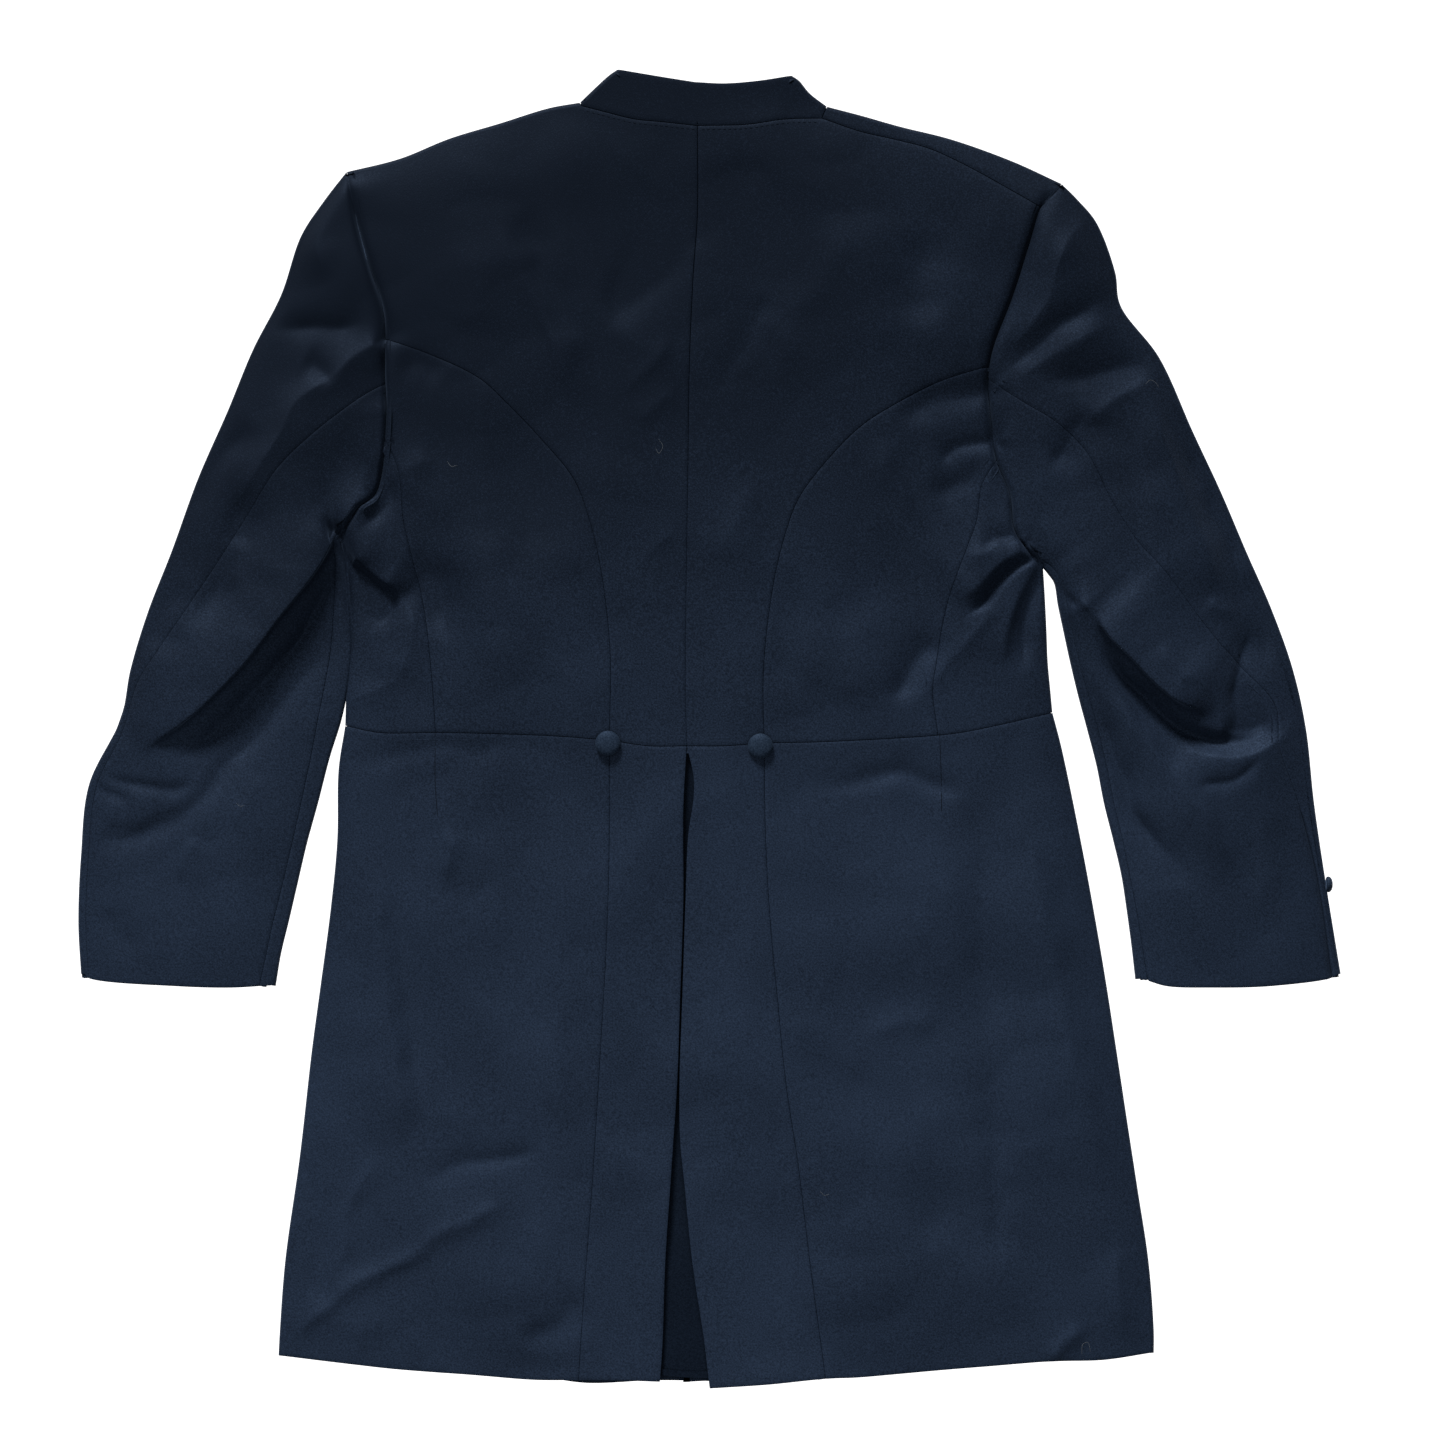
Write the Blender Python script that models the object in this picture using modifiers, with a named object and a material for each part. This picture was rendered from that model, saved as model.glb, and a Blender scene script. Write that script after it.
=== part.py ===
"""A man's frock coat laid out flat on its front, so that its back shows.

X runs to the right and Y towards the collar, both from the middle of the laid coat. Z runs up from
the table. Sizes are in millimetres and become metres where the meshes are made. Left and right are
the left and the right of the coat as it is seen from above, which are also the wearer's.

The coat is built as it is sewn. Each cloth piece is a wall of one thickness between its seams. The
upper pieces follow height(), the lower ones lie on the table, and a piece that goes round an edge
of the coat has a rolled bend between its two parts.
"""

from collections import namedtuple
from types import SimpleNamespace

import bmesh
import bpy
import numpy as np

# Driving sizes, in millimetres
CLOTH = 2.2  # wool with its lining
SEAM_GAP = 0.3  # left open between two pieces that are sewn together
LAYER_GAP = 1.6  # air between two layers at a rolled edge
EDGE_RADIUS = CLOTH + LAYER_GAP / 2
EDGE_HEIGHT = 2 * EDGE_RADIUS
LAP_RISE = CLOTH + SEAM_GAP  # one front lies this much higher where it laps over the other
LAP_HALF = 20.0  # half the width of the lap at the centre front
LAP_SLOPE = 26.0  # length over which the lapping front comes down to the table
UNDERLAY_HEIGHT = 2 * LAP_RISE + SEAM_GAP  # the vent's underlay lies on both fronts
PLATEAU_BODY = 4.6  # how far the upper cloth lifts from the edge height on the body
PLATEAU_SLEEVE = 8.0  # and on a sleeve
PLATEAU_LENGTH = 24.0  # distance from the edge over which it lifts
HEM_DROP = 0.55  # share of the lift that is lost at the hem
HEM_FROM = (-400, -480)
FULL_ABOVE = (-260, -150)  # a sleeve gets its full height between these heights
LEFT_SLEEVE_FROM, RIGHT_SLEEVE_FROM = (238, 285), (222, 268)  # beyond the armholes
VENT_MIDDLE, VENT_REACH = -15, 95  # the cloth stays above the layers of the vent here
UNDER_VENT = 0.4
SHARPNESS = 0.5  # how tightly the cloth bends onto what lies beneath
WAIST_BUTTON_RADIUS = 9.4
WAIST_BUTTON_HEIGHT = 4.2
WAIST_BUTTONS = {"left": (-76, -11), "right": (38, -13)}  # where each one is in plan
CUFF_BUTTON_RADIUS = 6.0
CUFF_BUTTON_HEIGHT = 3.6
CUFF_BUTTON_PLACE = (462.0, -117, 6.4)  # against the outer edge of the right cuff
CUFF_BUTTON_TILT = (0, np.radians(90), np.radians(9))  # it faces away from the sleeve
SHANK_LENGTH = 0.8
SHANK_RADIUS = 3.0
BUTTON_DOME = [(0, 1), (0.45, 0.97), (0.8, 0.78), (0.97, 0.45), (1, 0.25), (0.9, 0)]  # across and up
BUTTON_SIDES = 20

# How many faces a seam is cut into
BEND_STEPS = 3
SECTION_STEPS = 2
PRINCESS_STEPS = 12
SKIRT_STEPS = 15
SHOULDER_STEPS = 5
NECK_STEPS = 3
COLLAR_STEPS = 3
UNDER_ARMHOLE_STEPS = 6
ARMHOLE_STEPS = (4, 1, 3, 3, 1)  # to the curved seam, hind-arm seam, under-arm seam, fore-arm seam and armpit
ARMPIT_NORMAL = (0, 1)  # where the body and the sleeve part, both rolled edges face down

NAVY = (0.011, 0.018, 0.036, 1.0)
BUTTON_NAVY = (0.020, 0.030, 0.055, 1.0)

MM = 0.001

Section = namedtuple("Section", "outer hind fore inner")
Fold = namedtuple("Fold", "path rise left right")
Blob = namedtuple("Blob", "x y rise radius")
Edge = namedtuple("Edge", "points inward")
Side = namedtuple(
    "Side",
    "sign collar_edge shoulder_edge sections armhole hind_at princess_at second_at fore_at "
    "under_armhole bodice_edge skirt_edge princess second waist under_waist skirt_princess vent "
    "cuff hem under_hem shoulder_seam neck under_neck collar_top under_collar_top",
)

# The centre back seam, from the collar down to the waist
CENTRE_BACK = [(-9, 451), (-9, 385), (-12, 342), (-15, 273), (-16, 203), (-18, 36), (-17, -13)]

# The left half. Seams and edges run from the neck or the shoulder downwards and outwards.
LEFT = Side(
    sign=1,
    collar_edge=[(-69, 493.5), (-75, 489.5), (-85, 480.5), (-97, 469)],
    shoulder_edge=[(-97, 469), (-120, 465), (-157, 453.5), (-195, 442), (-232, 427), (-272, 417)],
    sections=[
        Section(outer=(-272, 417), hind=(-243, 258), fore=(-271, 153), inner=(-276, 141)),
        Section(outer=(-289, 395), hind=(-257, 250), fore=(-281, 142), inner=(-276, 133)),
        Section(outer=(-306, 369), hind=(-270, 241), fore=(-280, 126), inner=(-275, 124)),
        Section(outer=(-321, 325), hind=(-297, 220), fore=(-281, 106), inner=(-273, 104)),
        Section(outer=(-342, 284), hind=(-322, 196), fore=(-282, 84), inner=(-271, 82)),
        Section(outer=(-361, 238), hind=(-346, 160), fore=(-284, 59), inner=(-270.2, 58)),
        Section(outer=(-383, 188), hind=(-369, 124), fore=(-288, 34), inner=(-273, 32)),
        Section(outer=(-403, 133), hind=(-392, 90), fore=(-293, 8), inner=(-276.5, 7)),
        Section(outer=(-421, 87), hind=(-413, 60), fore=(-299, -24), inner=(-284.5, -22)),
        Section(outer=(-434, 44), hind=(-428, 36), fore=(-306, -57), inner=(-293, -55)),
        Section(outer=(-441, 8), hind=(-440, -3), fore=(-313, -88), inner=(-301.5, -86)),
        Section(outer=(-465, -42), hind=(-459, -43), fore=(-320, -118), inner=(-308.5, -116)),
        Section(outer=(-471, -95), hind=(-465, -95), fore=(-327, -146), inner=(-315, -144)),
        Section(outer=(-473, -145), hind=(-467, -145), fore=(-332, -170), inner=(-321, -169)),
        Section(outer=(-471, -184), hind=(-465, -187), fore=(-337, -193), inner=(-325, -193)),
    ],
    armhole=[
        (-264, 380), (-254, 344), (-244, 312), (-243, 267), (-242, 231), (-250, 176), (-261, 170),
    ],
    princess_at=(-243, 291),
    hind_at=(-243, 258),
    second_at=(-241, 218),
    fore_at=(-271, 153),
    under_armhole=[(-252, 345), (-238, 280), (-238, 225), (-252, 175)],
    bodice_edge=[(-276, 141), (-274, 125), (-272, 97), (-269, 66), (-272, 30), (-273, 2)],
    skirt_edge=[
        (-273, 2), (-278, -31), (-279, -84), (-284, -136), (-291, -189),
        (-298, -241), (-307, -320), (-318, -399), (-322, -451), (-323, -470),
    ],
    princess=[
        (-243, 291), (-207, 279), (-172, 262), (-153, 245), (-127, 218),
        (-101, 186), (-90, 157), (-84, 134), (-78, 98), (-74, 51), (-75, -9),
    ],
    second=[(-241, 218), (-233, 194), (-229, 156), (-221, 123), (-213, 85), (-208, 40), (-205, -3)],
    waist=[(-247, -3), (-205, -3), (-157, -4), (-110, -6), (-75, -9), (-45, -13), (-17, -13)],
    under_waist=[(-150, -8), (20, -12)],
    skirt_princess=[
        (-75, -9), (-75, -91), (-77, -160), (-82, -249), (-88, -346), (-94, -425), (-98, -488),
    ],
    vent=[
        (-17, -13), (-19.5, -60), (-19.5, -129), (-22, -204), (-24, -264), (-27, -309),
        (-29, -339), (-33, -399), (-35, -459), (-37, -489),
    ],
    cuff=[(-465, -187), (-397, -193), (-358, -194), (-337, -193), (-325, -193)],
    hem=[(-287, -474), (-234, -480), (-182, -484), (-131, -488), (-98, -488), (-69, -488), (-37, -489)],
    under_hem=[(-234, -479), (-130, -486), (-92, -491), (-40, -489), (20, -490)],
    shoulder_seam=[(-95, 457), (-120, 451), (-195, 430), (-232, 417), (-263, 406)],
    neck=[(-80, 462), (-56, 456), (-36, 454), (-9, 451)],
    under_neck=[(-75, 428), (-45, 403), (-1, 394), (20, 393)],
    collar_top=[(-36, 488), (-11, 484)],
    under_collar_top=[(-60, 466), (-36, 444), (-1, 434)],
)

# The right half, where the front comes over the shoulder and its seam shows on top
RIGHT = Side(
    sign=-1,
    collar_edge=[(61.5, 489), (67, 485.5), (75, 476), (88, 466)],
    shoulder_edge=[(88, 466), (113, 459.5), (143, 451), (181, 441.5), (227, 425), (264, 408)],
    sections=[
        Section(outer=(264, 408), hind=(209, 262), fore=(243, 130), inner=(250, 120)),
        Section(outer=(276, 396), hind=(221, 253), fore=(257, 120), inner=(254, 115)),
        Section(outer=(290, 379), hind=(235, 244), fore=(264, 107), inner=(258, 109)),
        Section(outer=(304, 342), hind=(261, 228), fore=(268, 89), inner=(261, 92)),
        Section(outer=(308, 317), hind=(282, 207), fore=(272, 70), inner=(265, 73)),
        Section(outer=(337, 278), hind=(301, 170), fore=(277, 48), inner=(270, 50)),
        Section(outer=(362, 223), hind=(320, 140), fore=(284, 24), inner=(276, 25)),
        Section(outer=(383, 178), hind=(343, 115), fore=(291, 0), inner=(283, -1)),
        Section(outer=(403, 131), hind=(368, 82), fore=(297, -26), inner=(290, -28)),
        Section(outer=(421, 90), hind=(397, 47), fore=(303, -56), inner=(295.5, -56)),
        Section(outer=(437, 45), hind=(423, 18), fore=(310, -86), inner=(302.5, -84)),
        Section(outer=(447, 0), hind=(427, -15), fore=(315, -112), inner=(308.5, -110)),
        Section(outer=(453, -55), hind=(441, -56), fore=(320, -138), inner=(312.5, -136)),
        Section(outer=(461, -110), hind=(455, -112), fore=(324, -163), inner=(316, -162)),
        Section(outer=(473, -184), hind=(466, -187), fore=(328, -188), inner=(319, -188)),
    ],
    armhole=[
        (248, 390), (239, 363), (227, 325), (215, 294), (209, 271), (209, 253), (211, 231),
        (215, 201), (225, 175), (228, 150), (236, 136),
    ],
    princess_at=(209, 271),
    hind_at=(209, 262),
    second_at=(215, 201),
    fore_at=(243, 130),
    under_armhole=[(239, 345), (222, 280), (220, 225), (232, 165)],
    bodice_edge=[(250, 120), (251, 105), (252.5, 75), (253.5, 50), (255.5, 28), (257, 12)],
    skirt_edge=[
        (257, 12), (264, -15), (280, -93), (289, -142), (297, -189),
        (305, -241), (313, -294), (321, -346), (329, -399), (333, -451), (333, -468),
    ],
    princess=[
        (209, 271), (173, 260), (143, 245), (113, 226), (83, 195),
        (66, 171), (57, 147), (49, 115), (42, 66), (40, 30), (41, -11),
    ],
    second=[
        (215, 201), (204, 183), (200, 156), (192, 134), (181, 104), (175, 81), (170, 51), (167, 29),
        (171, -5),
    ],
    waist=[(218, 3), (188, -3), (171, -5), (143, -7), (83, -10), (41, -11), (10, -13), (-17, -13)],
    under_waist=[(150, -3), (-20, -12)],
    skirt_princess=[
        (41, -11), (42, -84), (46, -151), (51, -204), (57, -264), (66, -324), (76, -406), (87, -487),
    ],
    vent=[
        (-17, -13), (-12, -36), (-12, -52), (-16, -80), (-18, -129), (-20.5, -204), (-22.5, -264),
        (-22, -309), (-19, -339), (-13, -399), (-4, -459), (0, -494),
    ],
    cuff=[(466, -187), (419, -193), (375, -194), (342, -193), (328, -189), (319, -188)],
    hem=[(295, -473), (255, -474), (208, -478), (159, -482), (113, -486), (87, -487), (45, -491), (0, -494)],
    under_hem=[(255, -473), (150, -481), (-20, -490)],
    shoulder_seam=[(84, 457), (113, 447), (139, 441), (165, 434), (191, 422), (222, 405), (248, 390)],
    neck=[(57, 456), (29, 452), (-9, 451)],
    under_neck=[(72, 428), (42, 403), (1, 394), (-20, 393)],
    collar_top=[(36, 485), (11, 483), (-11, 484)],
    under_collar_top=[(53, 464), (34, 444), (1, 434)],
)

# Folds of the upper cloth. A path is walked from its first point to its last. Rise is the height of
# its crest, or with a minus the depth of its valley. Left and right are how far each flank reaches.
FOLDS = [
    # left sleeve: the cloth above the elbow hangs over the cloth below it
    Fold([(-282, 134), (-320, 81), (-344, 50), (-372, 21), (-406, -10), (-429, -27)], 9.0, 8, 42),
    Fold([(-285, 100), (-315, 62), (-345, 27), (-385, -10)], -6.0, 14, 10),
    Fold([(-465, -79), (-439, -91), (-415, -79), (-380, -51), (-353, -29), (-334, -3)], -5.0, 14, 14),
    Fold([(-375, -72), (-396, -117)], -2.5, 9, 9),
    Fold([(-282, 398), (-294, 362), (-284, 326)], 3.0, 12, 12),
    Fold([(-334, 294), (-262, 303)], -3.5, 9, 9),
    Fold([(-276, 261), (-303, 252), (-324, 219), (-344, 183), (-356, 164), (-358, 111)], 4.0, 22, 11),
    Fold([(-322, 256), (-352, 209), (-374, 168)], -3.5, 13, 13),
    # right sleeve: the same, with a second ridge and the turn at the elbow
    Fold([(258, 112), (287, 76), (311, 54), (331, 32), (355, 12), (375, 1)], 9.0, 42, 8),
    Fold([(287, 66), (315, 29), (345, 5), (375, -6), (413, -7)], -7.0, 8, 12),
    Fold([(271, 93), (280, 63), (298, 27), (329, -25), (346, -50), (375, -102)], 5.0, 12, 9),
    Fold([(293, 15), (315, -31), (338, -69), (366, -101)], -5.0, 10, 13),
    Fold([(346, -8), (375, -20), (399, -21), (421, -10), (443, 18)], 5.5, 8, 20),
    Fold([(392, 22), (417, 4)], -5.0, 13, 13),
    Fold([(282, 386), (270, 356), (253, 318), (236, 294), (219, 291)], 3.5, 6, 20),
    Fold([(296, 315), (272, 308), (258, 296), (246, 279), (234, 265), (218, 263)], -6.0, 9, 9),
    Fold([(300, 262), (275, 235), (258, 200)], -3.5, 14, 14),
    Fold([(368, 186), (372, 126), (379, 89)], -4.0, 14, 14),
    # body, left: the tuck under the arm and the hollow beside it
    Fold([(-272, 137), (-262, 126), (-248, 114), (-230, 102)], 4.5, 20, 7),
    Fold([(-264, 112), (-238, 97)], -3.5, 8, 8),
    Fold([(-209, 140), (-204, 100), (-212, 75)], -2.5, 14, 14),
    # body, right: the creases that run down from the armhole
    Fold([(235, 127), (203, 102), (183, 86), (154, 36)], -4.5, 10, 10),
    Fold([(240, 118), (229, 89), (218, 59)], 3.0, 9, 9),
    Fold([(242, 108), (233, 81), (225, 51), (216, 21)], -4.0, 10, 10),
    Fold([(177, 207), (191, 215), (212, 205)], -2.5, 9, 9),
    # upper back
    Fold([(30, 411), (-7, 374), (-45, 336), (-67, 299)], -2.5, 14, 16),
    # skirt
    Fold([(-243, -84), (-240, -174), (-234, -249), (-225, -309)], -2.5, 18, 18),
    Fold([(-112, -60), (-112, -204), (-114, -301), (-120, -421)], -1.6, 16, 16),
    Fold([(-312, -455), (-285, -432), (-251, -413), (-199, -389)], 2.0, 10, 10),
    Fold([(240, -30), (252, -129), (263, -211), (282, -286), (297, -346)], -2.8, 13, 13),
    Fold([(85, -338), (128, -354), (180, -376)], -1.6, 16, 16),
]

# Broad swellings: the shoulder pads, the sleeve heads and the blades
BLOBS = [
    Blob(x=-235, y=372, rise=4.0, radius=60),
    Blob(x=225, y=365, rise=4.0, radius=60),
    Blob(x=-300, y=330, rise=3.0, radius=45),
    Blob(x=285, y=330, rise=3.0, radius=45),
    Blob(x=-120, y=330, rise=2.5, radius=90),
    Blob(x=105, y=330, rise=2.5, radius=90),
    Blob(x=-145, y=95, rise=2.0, radius=70),
]

# The cloth behind the vent
UNDERLAY_LEFT = [(-60, -18), (-66, -200), (-80, -480)]
UNDERLAY_RIGHT = [(22, -18), (28, -200), (46, -480)]
UNDERLAY_TOP = [(-60, -18), (-17, -18), (22, -18)]
UNDERLAY_HEM = [(-80, -480), (-37, -486), (0, -489), (46, -484)]
UNDERLAY_COLUMNS = 8


def smooth_line(points, steps):
    """Points on the smooth line through the given ones, a number of steps between each two."""
    p = np.array(points, float)
    p = np.vstack([2 * p[0] - p[1], p, 2 * p[-1] - p[-2]])
    t = np.concatenate([[0], np.cumsum(np.linalg.norm(np.diff(p, axis=0), axis=1) ** 0.5)])
    line = []
    for i in range(1, len(p) - 2):
        s = np.linspace(t[i], t[i + 1], steps, endpoint=False)[:, None]
        a = [(p[k] * (t[k + 1] - s) + p[k + 1] * (s - t[k])) / (t[k + 1] - t[k]) for k in (i - 1, i, i + 1)]
        b = [(a[k] * (t[i + 1 + k] - s) + a[k + 1] * (s - t[i - 1 + k])) / (t[i + 1 + k] - t[i - 1 + k])
             for k in (0, 1)]
        line.append((b[0] * (t[i + 1] - s) + b[1] * (s - t[i])) / (t[i + 1] - t[i]))
    return np.vstack(line + [p[-2][None]])


def evenly(line, steps):
    """The line again, cut into equal steps."""
    length = np.concatenate([[0], np.cumsum(np.linalg.norm(np.diff(line, axis=0), axis=1))])
    at = np.linspace(0, length[-1], steps + 1)
    return np.stack([np.interp(at, length, line[:, k]) for k in (0, 1)], axis=1)


def curve(points, steps):
    return evenly(smooth_line(points, 16), steps)


def join(*lines):
    """Lines one after the other, each starting where the last one ended."""
    return np.vstack([lines[0]] + [line[1:] for line in lines[1:]])


def stretches(points, stops, steps):
    """A smooth line cut at the points nearest to the stops, each stretch in its own number of steps."""
    line = smooth_line(points, 24)
    cuts = [0] + [int(np.argmin(np.linalg.norm(line - stop, axis=1))) for stop in stops] + [len(line) - 1]
    return [evenly(line[a:b + 1], n) for a, b, n in zip(cuts, cuts[1:], steps)]


def meet(lines, ends):
    """Lines that follow each other, made to end on the given points exactly."""
    for i, end in enumerate(ends):
        lines[i][-1] = end
        if i + 1 < len(lines):
            lines[i + 1][0] = end
    return lines


def straight(start, end, steps):
    return evenly(np.array([start, end]), steps)


def inward_normals(points, turn):
    """Unit vectors across a line, to its left where turn is 1 and to its right where it is -1."""
    along = np.gradient(points, axis=0)
    along /= np.linalg.norm(along, axis=1)[:, None]
    return turn * np.stack([-along[:, 1], along[:, 0]], axis=1)


def split_edge(lines, turn, first=None):
    """Edges for lines that follow each other, with normals that agree where they meet."""
    points = join(*lines)
    normals = inward_normals(points, turn)
    if first is not None:
        normals[0] = first
    edges, start = [], 0
    for line in lines:
        end = start + len(line) - 1
        edges.append(Edge(points[start:end + 1], normals[start:end + 1]))
        start = end
    return edges


def inset(edge):
    """Where the flat cloth starts, inside a rolled edge."""
    return edge.points + EDGE_RADIUS * edge.inward


def distance_to(points, line):
    """Distance from each point to a line, which side it is on, and how far along the nearest place is."""
    a, b = line[:-1], line[1:]
    d = b - a
    rel = points[:, None] - a[None]
    t = np.clip((rel * d).sum(2) / (d * d).sum(1), 0, 1)
    gap = rel - t[..., None] * d
    away = np.linalg.norm(gap, axis=2)
    k = away.argmin(axis=1)
    rows = np.arange(len(points))
    side = np.sign(d[k, 0] * rel[rows, k, 1] - d[k, 1] * rel[rows, k, 0])
    return away[rows, k], side


def smoothstep(low, high, x):
    t = np.clip((x - low) / (high - low), 0, 1)
    return t * t * (3 - 2 * t)


def lap(x):
    """Height of the right front above the table: it lies on the left one at the centre front."""
    return LAP_RISE * (1 - smoothstep(LAP_HALF + LAP_SLOPE, LAP_HALF + 2 * LAP_SLOPE, x))


def height(plan, edges):
    """Height of the upper cloth's outer face over the table at points in plan."""
    flat = plan.reshape(-1, 2)
    x, y = flat[:, 0], flat[:, 1]
    edge_distance = np.min([distance_to(flat, edge.points)[0] for edge in edges], axis=0)
    lift = 1 - np.exp(-edge_distance / PLATEAU_LENGTH)
    on_sleeve = np.maximum(smoothstep(*LEFT_SLEEVE_FROM, -x), smoothstep(*RIGHT_SLEEVE_FROM, x))
    on_sleeve *= smoothstep(*FULL_ABOVE, y)
    centre = np.exp(-(np.abs(x - VENT_MIDDLE) / VENT_REACH) ** 4)
    hem = 1 - HEM_DROP * (1 - centre) * smoothstep(*HEM_FROM, y)
    z = EDGE_HEIGHT + lift * hem * (PLATEAU_BODY + (PLATEAU_SLEEVE - PLATEAU_BODY) * on_sleeve)
    for blob in BLOBS:
        z += blob.rise * lift * np.exp(-((x - blob.x) ** 2 + (y - blob.y) ** 2) / blob.radius ** 2)
    for fold in FOLDS:
        away, side = distance_to(flat, smooth_line(fold.path, 6))
        z += fold.rise * lift * np.exp(-(away / np.where(side > 0, fold.left, fold.right)) ** 2)
    lowest = EDGE_HEIGHT + (PLATEAU_BODY - UNDER_VENT) * centre
    z = lowest + np.logaddexp(0, (z - lowest) / SHARPNESS) * SHARPNESS
    return z.reshape(plan.shape[:-1])


def coons(low, high, left, right):
    """Plan grid between four edges: low and high run from left to right, left and right from low to high."""
    u = np.linspace(0, 1, len(low))[None, :, None]
    v = np.linspace(0, 1, len(left))[:, None, None]
    across = (1 - v) * low[None] + v * high[None]
    along = (1 - u) * left[:, None] + u * right[:, None]
    corners = (1 - v) * ((1 - u) * low[0] + u * low[-1]) + v * ((1 - u) * high[0] + u * high[-1])
    return spread(across + along - corners)


def spread(grid, rounds=300):
    """Move the inner points of a grid until no cell is folded: the Winslow method, row against column."""
    grid = grid.copy()
    for _ in range(rounds):
        du = (grid[1:-1, 2:] - grid[1:-1, :-2]) / 2
        dv = (grid[2:, 1:-1] - grid[:-2, 1:-1]) / 2
        long_v, long_u = (dv ** 2).sum(2, keepdims=True), (du ** 2).sum(2, keepdims=True)
        shear = (du * dv).sum(2, keepdims=True)
        twist = (grid[2:, 2:] - grid[2:, :-2] - grid[:-2, 2:] + grid[:-2, :-2]) / 4
        columns, rows = grid[1:-1, 2:] + grid[1:-1, :-2], grid[2:, 1:-1] + grid[:-2, 1:-1]
        grid[1:-1, 1:-1] = (long_v * columns + long_u * rows - 2 * shear * twist) / (2 * (long_v + long_u))
    return grid


def upper(plan, edges):
    """Outer points and the way to the inner face, for a patch of the upper cloth."""
    outer = np.dstack([plan, height(plan, edges)])
    return outer, np.zeros_like(outer) + (0, 0, -CLOTH)


def lower(plan, rise=None):
    """The same for a patch that lies on the table, or on what rise says."""
    z = np.zeros(plan.shape[:-1]) if rise is None else rise(plan[..., 0])
    outer = np.dstack([plan, z])
    return outer, np.zeros_like(outer) + (0, 0, CLOTH)


def bend(edge, edges, rise=None):
    """The rolled edge between the upper and the lower cloth: half an ellipse at each point."""
    flat_start = inset(edge)
    top = height(flat_start, edges)
    bottom = np.zeros(len(top)) if rise is None else rise(flat_start[:, 0])
    middle, half = (top + bottom) / 2, (top - bottom) / 2
    outer, inner = [], []
    for angle in np.linspace(np.pi / 2, -np.pi / 2, BEND_STEPS + 1):
        for radius, tall, rows in ((EDGE_RADIUS, half, outer), (EDGE_RADIUS - CLOTH, half - CLOTH, inner)):
            plan = flat_start - radius * np.cos(angle) * edge.inward
            rows.append(np.column_stack([plan, middle + tall * np.sin(angle)]))
    outer, inner = np.array(outer), np.array(inner)
    return outer, inner - outer


def open_seams(mesh):
    """Draw each free border of the open cloth back by half the seam gap."""
    moves = {}
    for edge in mesh.edges:
        if len(edge.link_faces) == 1:
            a, b = edge.verts
            along = (b.co - a.co).normalized()
            inside = edge.link_faces[0].calc_center_median() - a.co
            inside = (inside - along * inside.dot(along)).normalized()
            for vert in (a, b):
                moves.setdefault(vert, []).append(inside)
    for vert, ways in moves.items():
        way = sum(ways, ways[0] * 0)
        vert.co += way / max(way.dot(ways[0]), 0.5) * SEAM_GAP / 2 * MM
        vert.co.z = max(vert.co.z, 0)


def sew(name, patches, colour, parent, collection):
    """One solid cloth piece from patches that share their borders."""
    mesh = bmesh.new()
    inward_layer = mesh.verts.layers.float_vector.new("inward")
    known = {}

    def vertex(point, way):
        key = tuple(np.round(point, 3))
        if key not in known:
            known[key] = mesh.verts.new(point * MM)
            known[key][inward_layer] = way * MM
        return known[key]

    for outer, way in patches:
        grid = [[vertex(p, w) for p, w in zip(row, way_row)] for row, way_row in zip(outer, way)]
        for upper_row, lower_row in zip(grid, grid[1:]):
            for a, b, c, d in zip(upper_row, upper_row[1:], lower_row[1:], lower_row):
                corners = list(dict.fromkeys((a, b, c, d)))
                if len(corners) > 2:
                    mesh.faces.new(corners)
    bmesh.ops.recalc_face_normals(mesh, faces=mesh.faces)
    open_seams(mesh)
    thick = bmesh.ops.extrude_face_region(mesh, geom=mesh.faces[:])
    for item in thick["geom"]:
        if isinstance(item, bmesh.types.BMVert):
            item.co += item[inward_layer]
    bmesh.ops.recalc_face_normals(mesh, faces=mesh.faces)
    data = bpy.data.meshes.new(name)
    mesh.to_mesh(data)
    mesh.free()
    return add_piece(name, data, colour, parent, collection)


def add_piece(name, data, colour, parent, collection):
    """Put a mesh in the coat's collection with a material of its own."""
    piece = bpy.data.objects.new(name, data)
    piece.parent = parent
    collection.objects.link(piece)
    material = bpy.data.materials.new(name)
    material.use_nodes = True
    shader = material.node_tree.nodes["Principled BSDF"]
    shader.inputs["Base Color"].default_value = colour
    shader.inputs["Roughness"].default_value = 0.75
    shader.inputs["Metallic"].default_value = 0.0
    data.materials.append(material)
    data.shade_smooth()
    data.set_sharp_from_angle(angle=np.radians(40))
    return piece


def rolled_edges(side):
    """The three stretches of one half where the cloth goes round from the upper to the lower layer."""
    outer_line = smooth_line([row.outer for row in side.sections], SECTION_STEPS)
    inner_line = smooth_line([row.inner for row in side.sections], SECTION_STEPS)
    collar, shoulder, sleeve_outer = split_edge(
        [curve(side.collar_edge, COLLAR_STEPS), curve(side.shoulder_edge, SHOULDER_STEPS), outer_line],
        side.sign)
    bodice, skirt = split_edge(
        [curve(side.bodice_edge, PRINCESS_STEPS), curve(side.skirt_edge, SKIRT_STEPS)],
        side.sign, ARMPIT_NORMAL)
    sleeve_inner, = split_edge([inner_line], -side.sign, ARMPIT_NORMAL)
    return SimpleNamespace(collar=collar, shoulder=shoulder, sleeve_outer=sleeve_outer,
                           bodice=bodice, skirt=skirt, sleeve_inner=sleeve_inner)


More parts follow.
